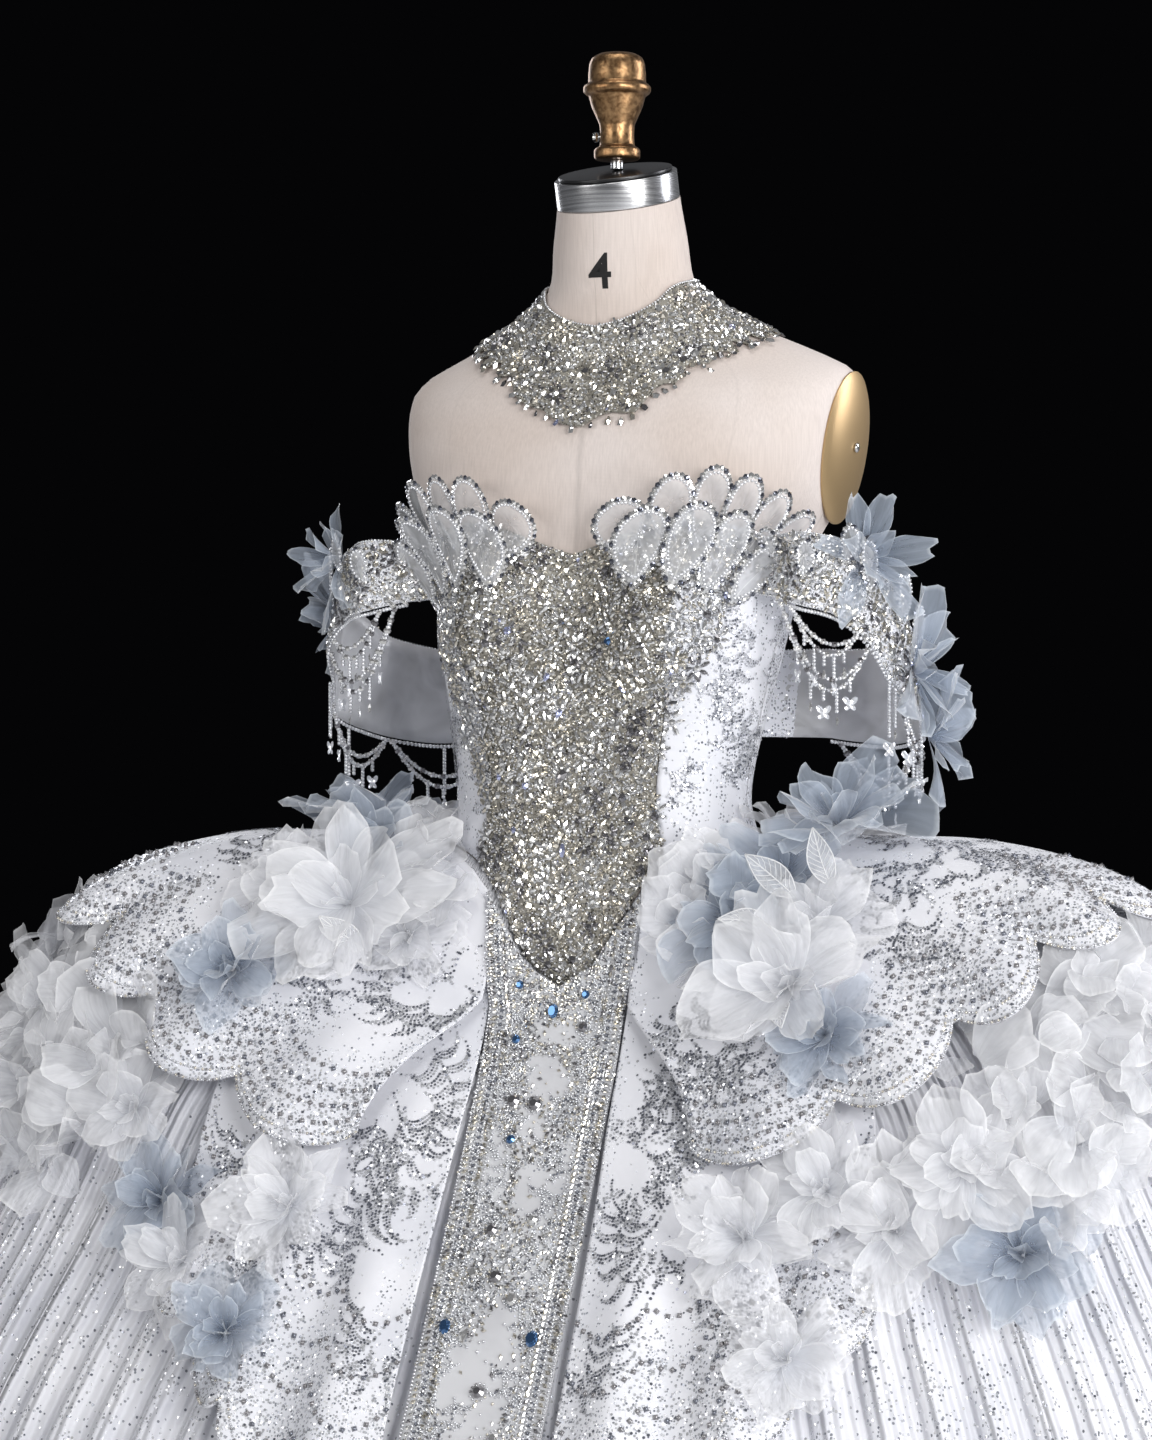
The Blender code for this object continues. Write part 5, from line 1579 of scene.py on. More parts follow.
def panel_scrolls(across, down):
    """1 on the front panel's beaded scrolls, 0 on the plain cloth between them."""
    band = noise(across * 5, down * 34, 81)
    head = 1 - smooth(down, 0.02, 0.12)
    return np.clip(smooth(0.34 - np.abs(band), 0.0, 0.16) + head, 0, 1)


def build_panel():
    """The beaded centre-front panel, from the basque's point to the hem."""
    across, down = shares(28, 100)
    place = 0.004 + 0.981 * down
    width = PANEL_HALF * (1.0 + 0.25 * smooth(place, 0.55, 1.0))
    # the angle of each x, not a share of the edge's angle
    x = (across * 2 - 1) * width
    angle = np.array([[skirt_angle(a, d) for a, d in zip(*row)] for row in zip(x, place)])
    rise = 0.0005 + 0.0035 * (1 - smooth(place, 0.05, 0.3)) + 0.0026
    points = skirt_at(angle, place, rise)
    rail = np.exp(-((np.abs(across * 2 - 1) - 0.8) / 0.09) ** 2)
    dense = np.clip(panel_scrolls(across, down) + rail, 0, 1)
    made = cloth("centre_panel_net", points, beaded_silver_net, "beaded_tulle",
                 ["centre_panel"], SATIN_WALL, 0.85 * dense)
    return points


# stones near the panel's head: across, down, shape, half length, tint; then pairs to the hem
PANEL_STONES = [
    (0.49, 0.06, OCTAGON, 0.0062, SAPPHIRE), (0.27, 0.034, BRILLIANT, 0.0036, SAPPHIRE),
    (0.69, 0.04, BRILLIANT, 0.0036, SAPPHIRE), (0.24, 0.13, BRILLIANT, 0.0038, SAPPHIRE),
    (0.72, 0.1, BRILLIANT, 0.0044, SMOKE), (0.3, 0.235, BRILLIANT, 0.0056, SMOKE),
    (0.46, 0.238, BRILLIANT, 0.0056, SMOKE), (0.34, 0.29, BRILLIANT, 0.004, SAPPHIRE),
    (0.62, 0.385, BRILLIANT, 0.0042, CLEAR), (0.34, 0.4, BRILLIANT, 0.005, SMOKE),
    (0.28, 0.45, OCTAGON, 0.005, CLEAR), (0.44, 0.452, BRILLIANT, 0.0054, SMOKE),
    (0.6, 0.475, OCTAGON, 0.0056, CLEAR), (0.3, 0.512, TEARDROP, 0.0066, CLEAR),
    (0.8, 0.512, OCTAGON, 0.0072, SAPPHIRE), (0.16, 0.506, OCTAGON, 0.0066, SAPPHIRE),
] + [(0.5 + 0.26 * sin(2.4 * number), 0.56 + 0.036 * number,
      (BRILLIANT, OCTAGON, TEARDROP)[number % 3], 0.0054, (SMOKE, CLEAR, SAPPHIRE, CLEAR)[number % 4])
     for number in range(12)]


def build_panel_beads(points):
    """Rope rails of bugle beads, seed-bead scrolls and large stones on the front panel."""
    rng = default_rng(83)
    line = np.linspace(0.004, 0.996, 260)
    rails, seeds = [], []
    for edge, lean in ((0.045, 0.7), (0.155, -0.7), (0.845, 0.7), (0.955, -0.7)):
        bugles = [(CLEAR, 4), (CHAMPAGNE, 3), (SMOKE, 2)]
        shape, place, _, half, tints = beads_along(points, edge, line, 0.0052, 0.0032, bugles, 84, 0.0007,
                                                   BAGUETTE)
        _, normal, over = on_cloth(points, edge, np.linspace(0.004, 0.996, len(place)))
        rails.append((shape, place, axes_on(normal, over, lean), half, tints))
        for aside in (-0.035, 0.035):
            seeds.append(beads_along(points, np.clip(edge + aside, 0.004, 0.996), line,
                                     0.003, 0.0015, [(WHITE, 3), (SILVER, 2)], 85, 0.0006))
    seeds += [beads_along(points, across, line, 0.006, 0.0019, [(DARK_SILVER, 1)], 86)
              for across in (0.1, 0.9)]
    sprays = [(0.5 + 0.17 * (-1) ** number, 0.02 + 0.032 * number, 0.45 * (-1) ** number, 0.06)
              for number in range(30)]
    seeds.append(embroidered(points, sprays, 87, 0.0014, [(WHITE, 5), (SILVER, 3), (DARK_SILVER, 1)], SEED))
    ring = np.arange(12) / 12 * tau
    cos_ring, sin_ring = np.cos(ring), np.sin(ring)
    for stone in PANEL_STONES:
        rails.append(set_stone(points, 0.002, *stone))
        across, down, _, half, _ = stone
        reach = half + 0.0018
        round_it = moved(points, np.full(12, across), np.full(12, down), reach * cos_ring, reach * sin_ring)
        place, normal, over = on_cloth(points, *np.clip(round_it, 0, 1), 0.0008)
        seeds.append((SEED, place, axes_on(normal, over, 0.0), 0.0013, pick(rng, 12, SEED_TINTS)))

    # the ground between: short bugle beads that follow the scrolls' curve, and seed beads
    def keep(across, down, spread):
        return spread.uniform(0, 1, len(across)) < 0.12 + panel_scrolls(across, down)

    u, v = strewn(points, 0.0046, 88, keep, 0.25)
    place, normal, over = on_cloth(points, u, v, 0.0004)
    turn = 3.0 * noise(u * 9, v * 60, 89)
    long = rng.uniform(0, 1, len(u)) < 0.6
    rails.append((BAGUETTE, place[long], axes_on(normal[long], over[long], turn[long]),
                  rng.uniform(0.0018, 0.003, long.sum()),
                  pick(rng, long.sum(), [(CLEAR, 6), (CHAMPAGNE, 3), (SMOKE, 3)])))
    seeds.append((SEED, place[~long], axes_on(normal[~long], over[~long], 0.0),
                  rng.uniform(0.0011, 0.0018, (~long).sum()), pick(rng, (~long).sum(), SEED_TINTS)))
    crystals("centre_panel_stones", rails)
    glass_beads("centre_panel_beads", seeds)


# ---- glitter tiers
LONG_HEAD = 0.012
UPPER_HEAD = 0.006


def tier_grid(side, columns, rows, head, edges, foot, lift, extra):
    """A tier's points, its shares round from its front edge and its places down the skirt."""
    across, down = shares(columns, rows)
    share = across if side > 0 else 1 - across
    place = head + (np.array([foot(part) for part in share[0]])[None] - head) * down
    keys = np.unique(np.round(place, 4))
    front, back = [np.interp(place, keys, angles) for angles in zip(*(edges(float(key)) for key in keys))]
    rise = lift(share, place) + 0.0016 + extra(share, place, down)
    return skirt_at(side * (front + (back - front) * share), place, rise), share, down


def long_rise(share, down):
    wave = 0.5 - 0.5 * np.cos(tau * 3 * share)
    depth = 0.003 * smooth(down, 0.1, 0.3) + 0.014 * smooth(down, 0.34, 0.62)
    return 0.0034 + 0.003 * smooth(down, 0.09, 0.3) + depth * wave


def upper_rise(share, down):
    puff = 0.012 * smooth(down, 0.03, 0.1) + 0.008 * smooth(down, 0.1, 0.2)
    width = np.where(share < 0.34, 0.22, 0.3)
    brim = 0.024 * smooth(down, 0.24, 0.38) * np.exp(-((share - 0.34) / width) ** 2)
    wave = 0.5 - 0.5 * np.cos(tau * 9 * share)
    return 0.0011 + puff + brim + 0.014 * smooth(down, 0.15, 0.38) * wave


def sprig(rng, length):
    """A curled leaf spray as places of sequins from its root, in metres: aside, below and turn."""
    rows = []
    bend = rng.uniform(1.6, 2.8) * rng.choice((-1, 1))
    stem = int(length / 0.0024)
    x = y = 0.0
    heading = -bend * 0.35
    for step in range(stem):
        part = step / stem
        heading += bend * (0.5 + 1.7 * part) / stem
        x += 0.0024 * sin(heading)
        y += 0.0024 * cos(heading)
        rows.append((x, y, heading))
        if step % 6 == 2 and part < 0.9:
            for hand in (-1, 1):
                way = heading + hand * rng.uniform(0.5, 0.9)
                leaf = length * rng.uniform(0.2, 0.32) * (1.2 - part)
                count = max(int(leaf / 0.0022), 2)
                for place in range(count):
                    along = (place + 1) / count
                    wide = 0.0032 * sin(pi * along ** 0.7)
                    curl = way + hand * 1.1 * along ** 2
                    for aside in ((-wide, 0.0, wide) if along < 0.85 else (0.0,)):
                        rows.append((x + leaf * along * sin(curl) + aside * cos(curl),
                                     y + leaf * along * cos(curl) - aside * sin(curl), curl))
    return np.array(rows)


def embroidered(points, sprigs, seed, size, tints=LEAF_TINTS, shape=SEQUIN):
    """Sequins of several sprigs laid on a cloth; sprigs are (across, down, turn, length)."""
    rng = default_rng(seed)
    found = []
    for across, down, turn, length in sprigs:
        x, y, heading = sprig(rng, length).T
        aside = x * cos(turn) + y * sin(turn)
        below = -x * sin(turn) + y * cos(turn)
        u, v = moved(points, np.full(len(x), across), np.full(len(x), down), aside, below)
        inside = (u > 0.004) & (u < 0.996) & (v > 0.004) & (v < 0.996)
        found.append((*on_cloth(points, u[inside], v[inside], 0.0007), heading[inside]))
    place, normals, overs, turns = map(np.concatenate, zip(*found))
    lean = unit(normals + rng.normal(0, 0.1, normals.shape))
    half = rng.uniform(0.75, 1.1, len(place)) * size
    return shape, place, axes_on(lean, overs, turns), half, pick(rng, len(place), tints)


def tier_trim(name, points, size, seed, band, sprigs):
    """Sequins crowded along a tier's scalloped edge, two bead rows and leaf sprigs above them."""
    rng = default_rng(seed)

    def keep(across, down, spread):
        wander = band + 0.07 * noise(across * 60, down * 6, seed + 1)
        return spread.uniform(0, 1, len(across)) < smooth(down, wander - 0.05, wander + 0.1) * 0.8

    u, v = strewn(points, size * 3.7, seed, keep, 0.3)
    place, normal, over = on_cloth(points, u, v, 0.0006)
    lean = unit(normal + rng.normal(0, 0.13, normal.shape))
    half = rng.uniform(0.7, 1.1, len(u)) * size
    groups = [(SEQUIN, place, axes_on(lean, over, 0.0), half, pick(rng, len(u), SEQUIN_TINTS)),
              embroidered(points, sprigs, seed + 2, size)]
    many(name + "_sequins", groups, silvered_sequins, "glitter_lace")
    line = np.linspace(0, 1, points.shape[1])
    rows = [beads_along(points, line, level, 0.0031, 0.0015, SEED_TINTS, seed) for level in (0.996, 0.965)]
    rows += [beads_along(points, line, level, 0.0095, 0.0029, [(SMOKE, 2), (DARK_SILVER, 1)], seed)
             for level in (0.93, 0.87, 0.81, 0.74)]
    glass_beads(name + "_edge_beads", rows)


# leaf sprays on the long tier: share from its front edge, down it, turn, length
LONG_SPRIGS = [
    (0.1, 0.14, 0.7, 0.11), (0.22, 0.26, -0.5, 0.1), (0.1, 0.36, 0.6, 0.12), (0.3, 0.44, -0.8, 0.11),
    (0.12, 0.54, 0.5, 0.13), (0.34, 0.64, 0.9, 0.11), (0.14, 0.72, -0.4, 0.1), (0.6, 0.3, 0.5, 0.1),
    (0.66, 0.52, -0.7, 0.11), (0.52, 0.74, 0.3, 0.1), (0.84, 0.4, 0.8, 0.1), (0.86, 0.66, -0.5, 0.1),
]


def sew_tier(name, grid, curl, sparse, curl_from, edge_from, side_edge, full):
    """One satin tier with glitter along its scallops, its sides and in loose curls."""
    points, share, down = grid
    curls = np.clip(noise(share * curl[0], down * curl[1], curl[2]) * 1.5 - sparse, 0, 1)
    edge = smooth(down, *edge_from) + 0.9 * (1 - smooth(np.minimum(share, 1 - share), *side_edge))
    dense = np.clip(0.02 + full * edge + 0.42 * curls * smooth(down, curl_from, 0.6), 0, 1)
    made = cloth(name + "_satin", points, glittered_satin, "glitter_lace", [name], SATIN_WALL, dense)


def build_tiers(side, end, size):
    rng = default_rng(90 + side)

    def long_extra(share, place, down):
        return noise(share * 22, place * 9, 91 + side) * 0.0022 * smooth(place, 0.15, 0.4) - 0.0006

    def upper_extra(share, place, down):
        crease = noise(share * 60, place * 12, 95 + side) * 0.002 * smooth(place, 0.08, 0.25)
        return crease - 0.003 * smooth(down, 0.94, 1.0)

    name = "long_tier_" + end
    grid = tier_grid(side, 110, 60, LONG_HEAD, long_edges, long_foot, long_rise, long_extra)
    sew_tier(name, grid, (30, 22, 97), 0.25, 0.2, (0.7, 0.86), (0.01, 0.05), 0.4)
    tier_trim(name, grid[0], size, 100 + side, 0.8, sided(LONG_SPRIGS, side))
    name = "upper_tier_" + end
    grid = tier_grid(side, 200, 40, UPPER_HEAD, upper_edges, upper_foot, upper_rise, upper_extra)
    sew_tier(name, grid, (60, 14, 98), 0.2, 0.25, (0.6, 0.8), (0.005, 0.03), 0.42)
    sprigs = [((number + 0.5 + rng.uniform(-0.3, 0.3)) / 30, rng.uniform(0.22, 0.6),
               rng.uniform(-1.7, 1.7), rng.uniform(0.07, 0.11)) for number in range(30)]
    tier_trim(name, grid[0], size, 110 + side, 0.72, sprigs)


# ---- organza ruffles and flowers
RUFFLE_FROM = 51
RUFFLE_TO = 128


def build_ruffle(side, end):
    """Three layers of gathered organza that spring out under the upper tier at the hip."""
    bm = bmesh.new()
    for layer in range(3):
        across, down = shares(160, 10)
        share = across if side > 0 else 1 - across
        degrees = RUFFLE_FROM + (RUFFLE_TO - RUFFLE_FROM) * share
        place = 0.24 + (0.2 - 0.04 * layer) * down
        swell = 0.0008 + 0.033 * smooth(place, 0.24, 0.48) - 0.004 * layer * down
        wave = np.sin(tau * 10 * share + layer * 1.3)
        frill = np.sin(tau * (34 + 5 * layer) * share + 2 * noise(share * 30, 0 * share, 130 + layer))
        rise = swell + 0.012 * smooth(place, 0.34, 0.5) * wave + 0.0045 * smooth(down, 0.35, 1.0) * frill
        add_grid(bm, skirt_at(side * np.radians(degrees), place, rise + 0.001))
    name = "hip_ruffle_" + end
    made = piece(bm, name + "_organza", white_silk_organza, "white_organza", [name])


WHITE_SILK, BLUE_SILK = "white_organza", "blue_organza"
# name, degrees to the left, place down the skirt, radius, turn, silk
FLOWERS = [
    ("waist_right", -50, 0.115, 0.072, 0, WHITE_SILK),
    ("waist_right_side", -96, 0.1, 0.058, 30, BLUE_SILK),
    ("hip_right", -45, 0.245, 0.044, 10, BLUE_SILK),
    ("fold_right", -20, 0.42, 0.048, 50, WHITE_SILK),
    ("skirt_side_right", -36.0, 0.46, 0.046, 20, BLUE_SILK),
    ("skirt_right_low", -21, 0.545, 0.042, 5, BLUE_SILK),
    ("waist_left", 46, 0.085, 0.048, 15, BLUE_SILK),
    ("waist_left_side", 80, 0.1, 0.062, 40, BLUE_SILK),
    ("front_left", 39, 0.2, 0.062, 0, WHITE_SILK),
    ("fold_left", 22, 0.43, 0.05, 35, WHITE_SILK),
    ("skirt_side_left", 36.0, 0.45, 0.05, 10, WHITE_SILK),
    ("skirt_left_low", 25, 0.54, 0.042, 0, WHITE_SILK),
    ("back_left", 140, 0.11, 0.056, 20, WHITE_SILK),
    ("back_right", -140, 0.11, 0.056, 40, BLUE_SILK),
    ("skirt_back_left", 148.5, 0.46, 0.052, 0, BLUE_SILK),
    ("skirt_back_right", -148.5, 0.46, 0.052, 30, WHITE_SILK),
]
# petals, length, width, opening in degrees from flat, curl back at the tip
PETAL_RINGS = [(7, 1.26, 0.86, 12, 0.1), (6, 1.06, 0.78, 34, 0.18), (4, 0.8, 0.62, 56, 0.14),
               (3, 0.46, 0.4, 78, 0.0)]
# a loose spray of long petals
PETAL_SPRAY = [(6, 1.5, 0.62, 24, 0.1), (4, 1.15, 0.52, 52, 0.1)]
PETAL_CELLS = 7


def petal_points(length, width, opening, curl, rng):
    """A soft petal from its root at the origin: a grid of points whose foot is its rim."""
    across, down = shares(PETAL_CELLS, PETAL_CELLS)
    aside = across * 2 - 1
    wide = width * 0.5 * (0.1 + 0.9 * np.sin(pi * (0.03 + 0.6 * down)) ** 0.8)
    torn = noise(aside * 5.5, down, int(rng.integers(1e6)), 3) * 0.13
    reach = length * down * (1 - (0.3 * np.abs(aside) ** 2.4 - torn) * down)
    bend = radians(opening) - curl * 2.0 * down ** 2
    steps = np.diff(reach, axis=0, prepend=0)
    out = np.cumsum(steps * np.cos(bend), axis=0)
    rise = np.cumsum(steps * np.sin(bend), axis=0)
    wave = 0.08 * length * down ** 1.6 * np.sin(aside * rng.uniform(2.5, 4.5) + rng.uniform(0, 6))
    wave += 0.022 * length * down ** 0.8 * np.sin(aside * rng.uniform(8, 11) + rng.uniform(0, 6))
    wave += 0.085 * length * down * noise(aside * 2.2, down * 2.6, int(rng.integers(1e6)), 3)
    cup = width * aside ** 2 * rng.uniform(-0.1, 0.24) * (0.4 + 0.6 * down)
    lift = wave + cup
    return np.stack([out - lift * np.sin(bend), aside * wide, rise + lift * np.cos(bend)], axis=-1)


def add_petal(bm, lay, length, width, opening, curl, rng):
    points = petal_points(length, width, opening, curl, rng)
    lay = np.array(lay)
    add_grid(bm, points @ lay[:3, :3].T + lay[:3, 3])


ORGANZAS = {WHITE_SILK: white_silk_organza, BLUE_SILK: blue_silk_organza}


def organza_flower(name, seat, radius, silk, seed, nodes=(), rings=PETAL_RINGS):
    """A loose flower of sheer petals on a seat: a matrix whose z points out of the cloth."""
    rng = default_rng(seed)
    bm = bmesh.new()
    for ring, (count, length, width, opening, curl) in enumerate(rings):
        for petal in range(count):
            turn = tau * (petal + 0.5 * (ring % 2) + rng.uniform(-0.26, 0.26)) / count
            size = radius * rng.uniform(0.76, 1.16)
            lay = seat @ Matrix.Rotation(turn, 4, "Z") @ Matrix.Rotation(rng.normal(0, 0.16), 4, "X")
            lay = lay @ Matrix.Translation((0.02 * radius, 0, 0.02 * radius))
            add_petal(bm, lay, length * size, width * size * rng.uniform(0.7, 1.2),
                      opening + rng.uniform(-14, 14), curl * rng.uniform(0.3, 1.6), rng)
    made = piece(bm, name, ORGANZAS[silk], silk, nodes)


def seat_at(point, away, turn):
    """A matrix at a point whose z points away from the cloth, turned by degrees about it."""
    lay = Matrix.Translation(point) @ (away - point).normalized().to_track_quat("Z", "Y").to_matrix().to_4x4()
    return lay @ Matrix.Rotation(radians(turn), 4, "Z")


def skirt_seat(degrees, down, out, turn):
    angle = radians(degrees)
    return seat_at(skirt_point(angle, down, out), skirt_point(angle, down, out + 0.01), turn)


def build_flowers():
    for seed, (name, degrees, down, radius, turn, silk) in enumerate(FLOWERS):
        low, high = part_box("flower_" + name)
        middle = (Vector(low) + Vector(high)) / 2
        lay = skirt_seat(degrees, down, 0.0, turn)
        # the seat is at the solid's foot: its middle, less half its rise out of the cloth
        rise = (middle - lay.translation).dot(lay.col[2].xyz) - radius * 0.34
        lay.translation += lay.col[2].xyz * max(rise, 0.0005)
        organza_flower("flower_%s_organza" % name, lay, radius * looks().flower_size, silk, 200 + seed,
                       ["flower_" + name])


# flowers with no solid of their own: degrees to the left, down, out from the skirt, radius, turn, silk
MORE_FLOWERS = [
    (-41, 0.085, 0.012, 0.042, 10, WHITE_SILK), (-66, 0.075, 0.016, 0.05, 60, BLUE_SILK),
    (-60, 0.15, 0.022, 0.046, 0, WHITE_SILK),
    (-44, 0.4, 0.02, 0.05, 30, WHITE_SILK), (-30, 0.5, 0.016, 0.046, 70, WHITE_SILK),
    (39, 0.075, 0.01, 0.04, 15, WHITE_SILK), (62, 0.075, 0.016, 0.052, 45, BLUE_SILK),
    (52, 0.15, 0.022, 0.052, 0, WHITE_SILK), (37, 0.262, 0.03, 0.044, 50, BLUE_SILK),
    (30, 0.4, 0.018, 0.05, 25, WHITE_SILK), (45, 0.42, 0.024, 0.054, 5, WHITE_SILK),
    (48, 0.5, 0.02, 0.05, 35, BLUE_SILK),
]
# flowers on the sleeves: side, share along, up, radius, turn, silk
SLEEVE_FLOWERS = [
    (1, 0.34, 0.94, 0.04, 0, BLUE_SILK), (1, 0.5, 0.36, 0.046, 40, BLUE_SILK),
    (1, 0.56, -0.1, 0.042, 80, BLUE_SILK), (-1, 0.33, 1.0, 0.04, 20, BLUE_SILK),
    (-1, 0.47, 0.82, 0.044, 60, BLUE_SILK),
]


def build_more_flowers():
    for number, (degrees, down, out, radius, turn, silk) in enumerate(MORE_FLOWERS):
        organza_flower("filler_flower_%02d" % number, skirt_seat(degrees, down, out, turn), radius, silk,
                       300 + number)
    for number, (side, share, up, radius, turn, silk) in enumerate(SLEEVE_FLOWERS):
        lay = seat_at(sleeve_point(side, share, up, SLEEVE_WALL + 0.002),
                      sleeve_point(side, share, up, 0.02), turn)
        organza_flower("sleeve_flower_%02d" % number, lay, radius, silk, 340 + number, (), PETAL_SPRAY)


def tier_foot(degrees):
    """How far down the skirt the upper tier's edge is at an angle."""
    front = in_degrees(upper_edges(0.34)[0])
    return upper_foot(max(degrees - front, 0.0) / (170 - front))


def petal_cloud(name, side, angles, downs, outs, sizes, count, seed, head=lambda degrees: 0.0):
    """Loose petals crowded over a stretch of the skirt, each opening outwards its own way."""
    rng = default_rng(seed)
    bm = bmesh.new()
    for _ in range(count):
        share, fall = rng.uniform(0, 1, 2)
        degrees = angles[0] + (angles[1] - angles[0]) * share
        down = head(degrees) + downs[0] + (downs[1] - downs[0]) * fall
        out = outs[0] + (outs[1] - outs[0]) * rng.uniform(0.2, 1.0) * sin(pi * (0.15 + 0.7 * fall))
        lay = skirt_seat(side * degrees, down, out, rng.uniform(0, 360))
        size = rng.uniform(*sizes)
        add_petal(bm, lay, size, size * rng.uniform(0.7, 1.2), rng.uniform(8, 78),
                  rng.uniform(0.0, 0.6), rng)
    made = piece(bm, name, white_silk_organza, WHITE_SILK)


# veined lace leaves: degrees to the left, down, out from the skirt, turn, length
LACE_LEAVES = [
    (55, 0.125, 0.04, 150, 0.052), (60, 0.14, 0.036, 110, 0.048), (47, 0.135, 0.046, 190, 0.044),
    (34, 0.15, 0.04, 210, 0.04), (36, 0.215, 0.04, 300, 0.04), (-58, 0.12, 0.04, 200, 0.05),
    (-38, 0.13, 0.04, 150, 0.046), (-52, 0.205, 0.036, 30, 0.042), (150, 0.13, 0.03, 160, 0.048),
    (-150, 0.13, 0.03, 200, 0.048),
]


def build_lace_leaves():
    """Pointed leaves of fine net with corded rims, a corded midrib and side veins."""
    net, cords = bmesh.new(), bmesh.new()
    for degrees, down, out, turn, length in LACE_LEAVES:
        lay = np.array(skirt_seat(degrees, down, out, turn) @ Matrix.Rotation(radians(-38), 4, "Y"))
        across, along = shares(8, 10)
        wide = 0.22 * length * np.sin(pi * along ** 0.85) + 0.0002
        aside = (across * 2 - 1) * wide
        rise = 0.1 * length * np.sin(pi * along) + 0.18 * np.abs(aside)
        leaf = np.stack([along * length, aside, rise], axis=-1) @ lay[:3, :3].T + lay[:3, 3]
        add_grid(net, leaf)
        rim = np.concatenate([leaf[:, 0], leaf[::-1, -1]])
        tube(cords, rim, 0.00055, True, 5)
        tube(cords, leaf[:, 4], 0.00055, False, 5)
        for row in range(1, 8):
            for column in (0, 8):
                vein = leaf[row, 4], leaf[row + 1, 4 + (column - 4) // 2], leaf[row + 2, column]
                tube(cords, vein, 0.00035, False, 4)
    made = piece(net, "lace_leaves_net", wired_petal_organza, "white_organza")
    piece(cords, "lace_leaves_cords", white_silk_organza, "white_organza")


def build_clouds(side, end):
    petal_cloud("hip_cloud_" + end, side, (RUFFLE_FROM - 4, RUFFLE_TO), (0.0, 0.17), (0.004, 0.034),
                (0.032, 0.058), looks().hip_petals, 400 + side, tier_foot)
    petal_cloud("waist_cloud_" + end, side, (34, 100), (0.01, 0.05), (0.004, 0.01), (0.028, 0.044),
                44, 410 + side)


# ---- stage
AZIMUTH = radians(25)
CAMERA_FAR = 3.5
CAMERA_ASIDE = -0.038
CAMERA_HEIGHT = 1.15
FOCAL_LENGTH = 105.0


# name, place, what it faces, width and height, power, colour
LIGHTS = [
    ("key_light", (2.9, -2.7, 1.9), (0.0, 0.0, 1.0), (1.3, 1.3), 76.0, "#FFFFFF"),
    ("skirt_light", (3.3, -1.5, 0.9), (0.2, -0.2, 0.6), (1.0, 1.0), 34.0, "#FFFFFF"),
    ("fill_light", (-2.2, -3.4, 1.9), (0.0, 0.0, 1.0), (1.6, 1.6), 27.0, "#FFFEFC"),
    ("top_light", (0.3, -0.4, 3.8), (0.0, 0.0, 1.2), (1.6, 1.2), 18.0, "#FFFFFF"),
    ("rim_light", (-2.8, 2.4, 2.2), (0.0, 0.0, 1.0), (0.8, 2.0), 26.0, "#F6F8FF"),
    ("back_rim_light", (2.8, 2.2, 2.4), (0.0, 0.0, 1.0), (0.8, 2.0), 55.0, "#F6F8FF"),
    ("left_sparkle", (-0.9, -3.0, 1.9), (0.0, 0.0, 1.15), (0.12, 0.7), 9.0, "#FFFFFF"),
    ("right_sparkle", (2.9, -1.9, 1.6), (0.0, 0.0, 1.1), (0.12, 0.7), 9.0, "#FFFFFF"),
]


def build_lights():
    for name, place, target, size, power, shade in LIGHTS:
        lamp = bpy.data.lights.new(name, "AREA")
        lamp.shape = "RECTANGLE"
        lamp.size, lamp.size_y = size
        lamp.energy = power
        lamp.color = colour(shade)[:3]
        made = linked(name, lamp)
        made.location = place
        made.rotation_euler = (Vector(target) - Vector(place)).to_track_quat("-Z", "Y").to_euler()


def build_floor():
    bm = bmesh.new()
    bmesh.ops.create_grid(bm, x_segments=2, y_segments=2, size=6.0)
    mesh = bpy.data.meshes.new("studio_floor")
    bm.to_mesh(mesh)
    bm.free()
    mesh.materials.append(finish(pale_studio_floor))
    linked("studio_floor", mesh)


def build_world():
    """A dark room behind the gown that still lights it softly."""
    world = bpy.data.worlds.new("dark_studio")
    world.use_nodes = True
    tree = world.node_tree
    seen = add_node(tree, "LightPath")
    tone = add_node(tree, "MixRGB",
                    {0: (seen, "Is Camera Ray"), 1: colour("#646568"), 2: colour("#050506")})
    tree.links.new(tone.outputs[0], tree.nodes["Background"].inputs["Color"])
    bpy.context.scene.world = world
    bpy.context.scene.view_settings.view_transform = "Standard"


def build_camera():
    camera = bpy.data.cameras.new("camera")
    camera.lens = FOCAL_LENGTH
    camera.sensor_fit = "VERTICAL"
    camera.sensor_height = 36.0
    shown = linked("camera", camera)
    side, ahead = cos(AZIMUTH), sin(AZIMUTH)
    shown.location = (side * CAMERA_ASIDE + ahead * CAMERA_FAR,
                      ahead * CAMERA_ASIDE - side * CAMERA_FAR, CAMERA_HEIGHT)
    shown.rotation_euler = (pi / 2, 0.0, AZIMUTH)
    bpy.context.scene.camera = shown


# ---- operators and panel
def shade_choice(name, description, code):
    return FloatVectorProperty(name=name, description=description, subtype="COLOR",
                                         default=colour(code)[:3], min=0.0, max=1.0)


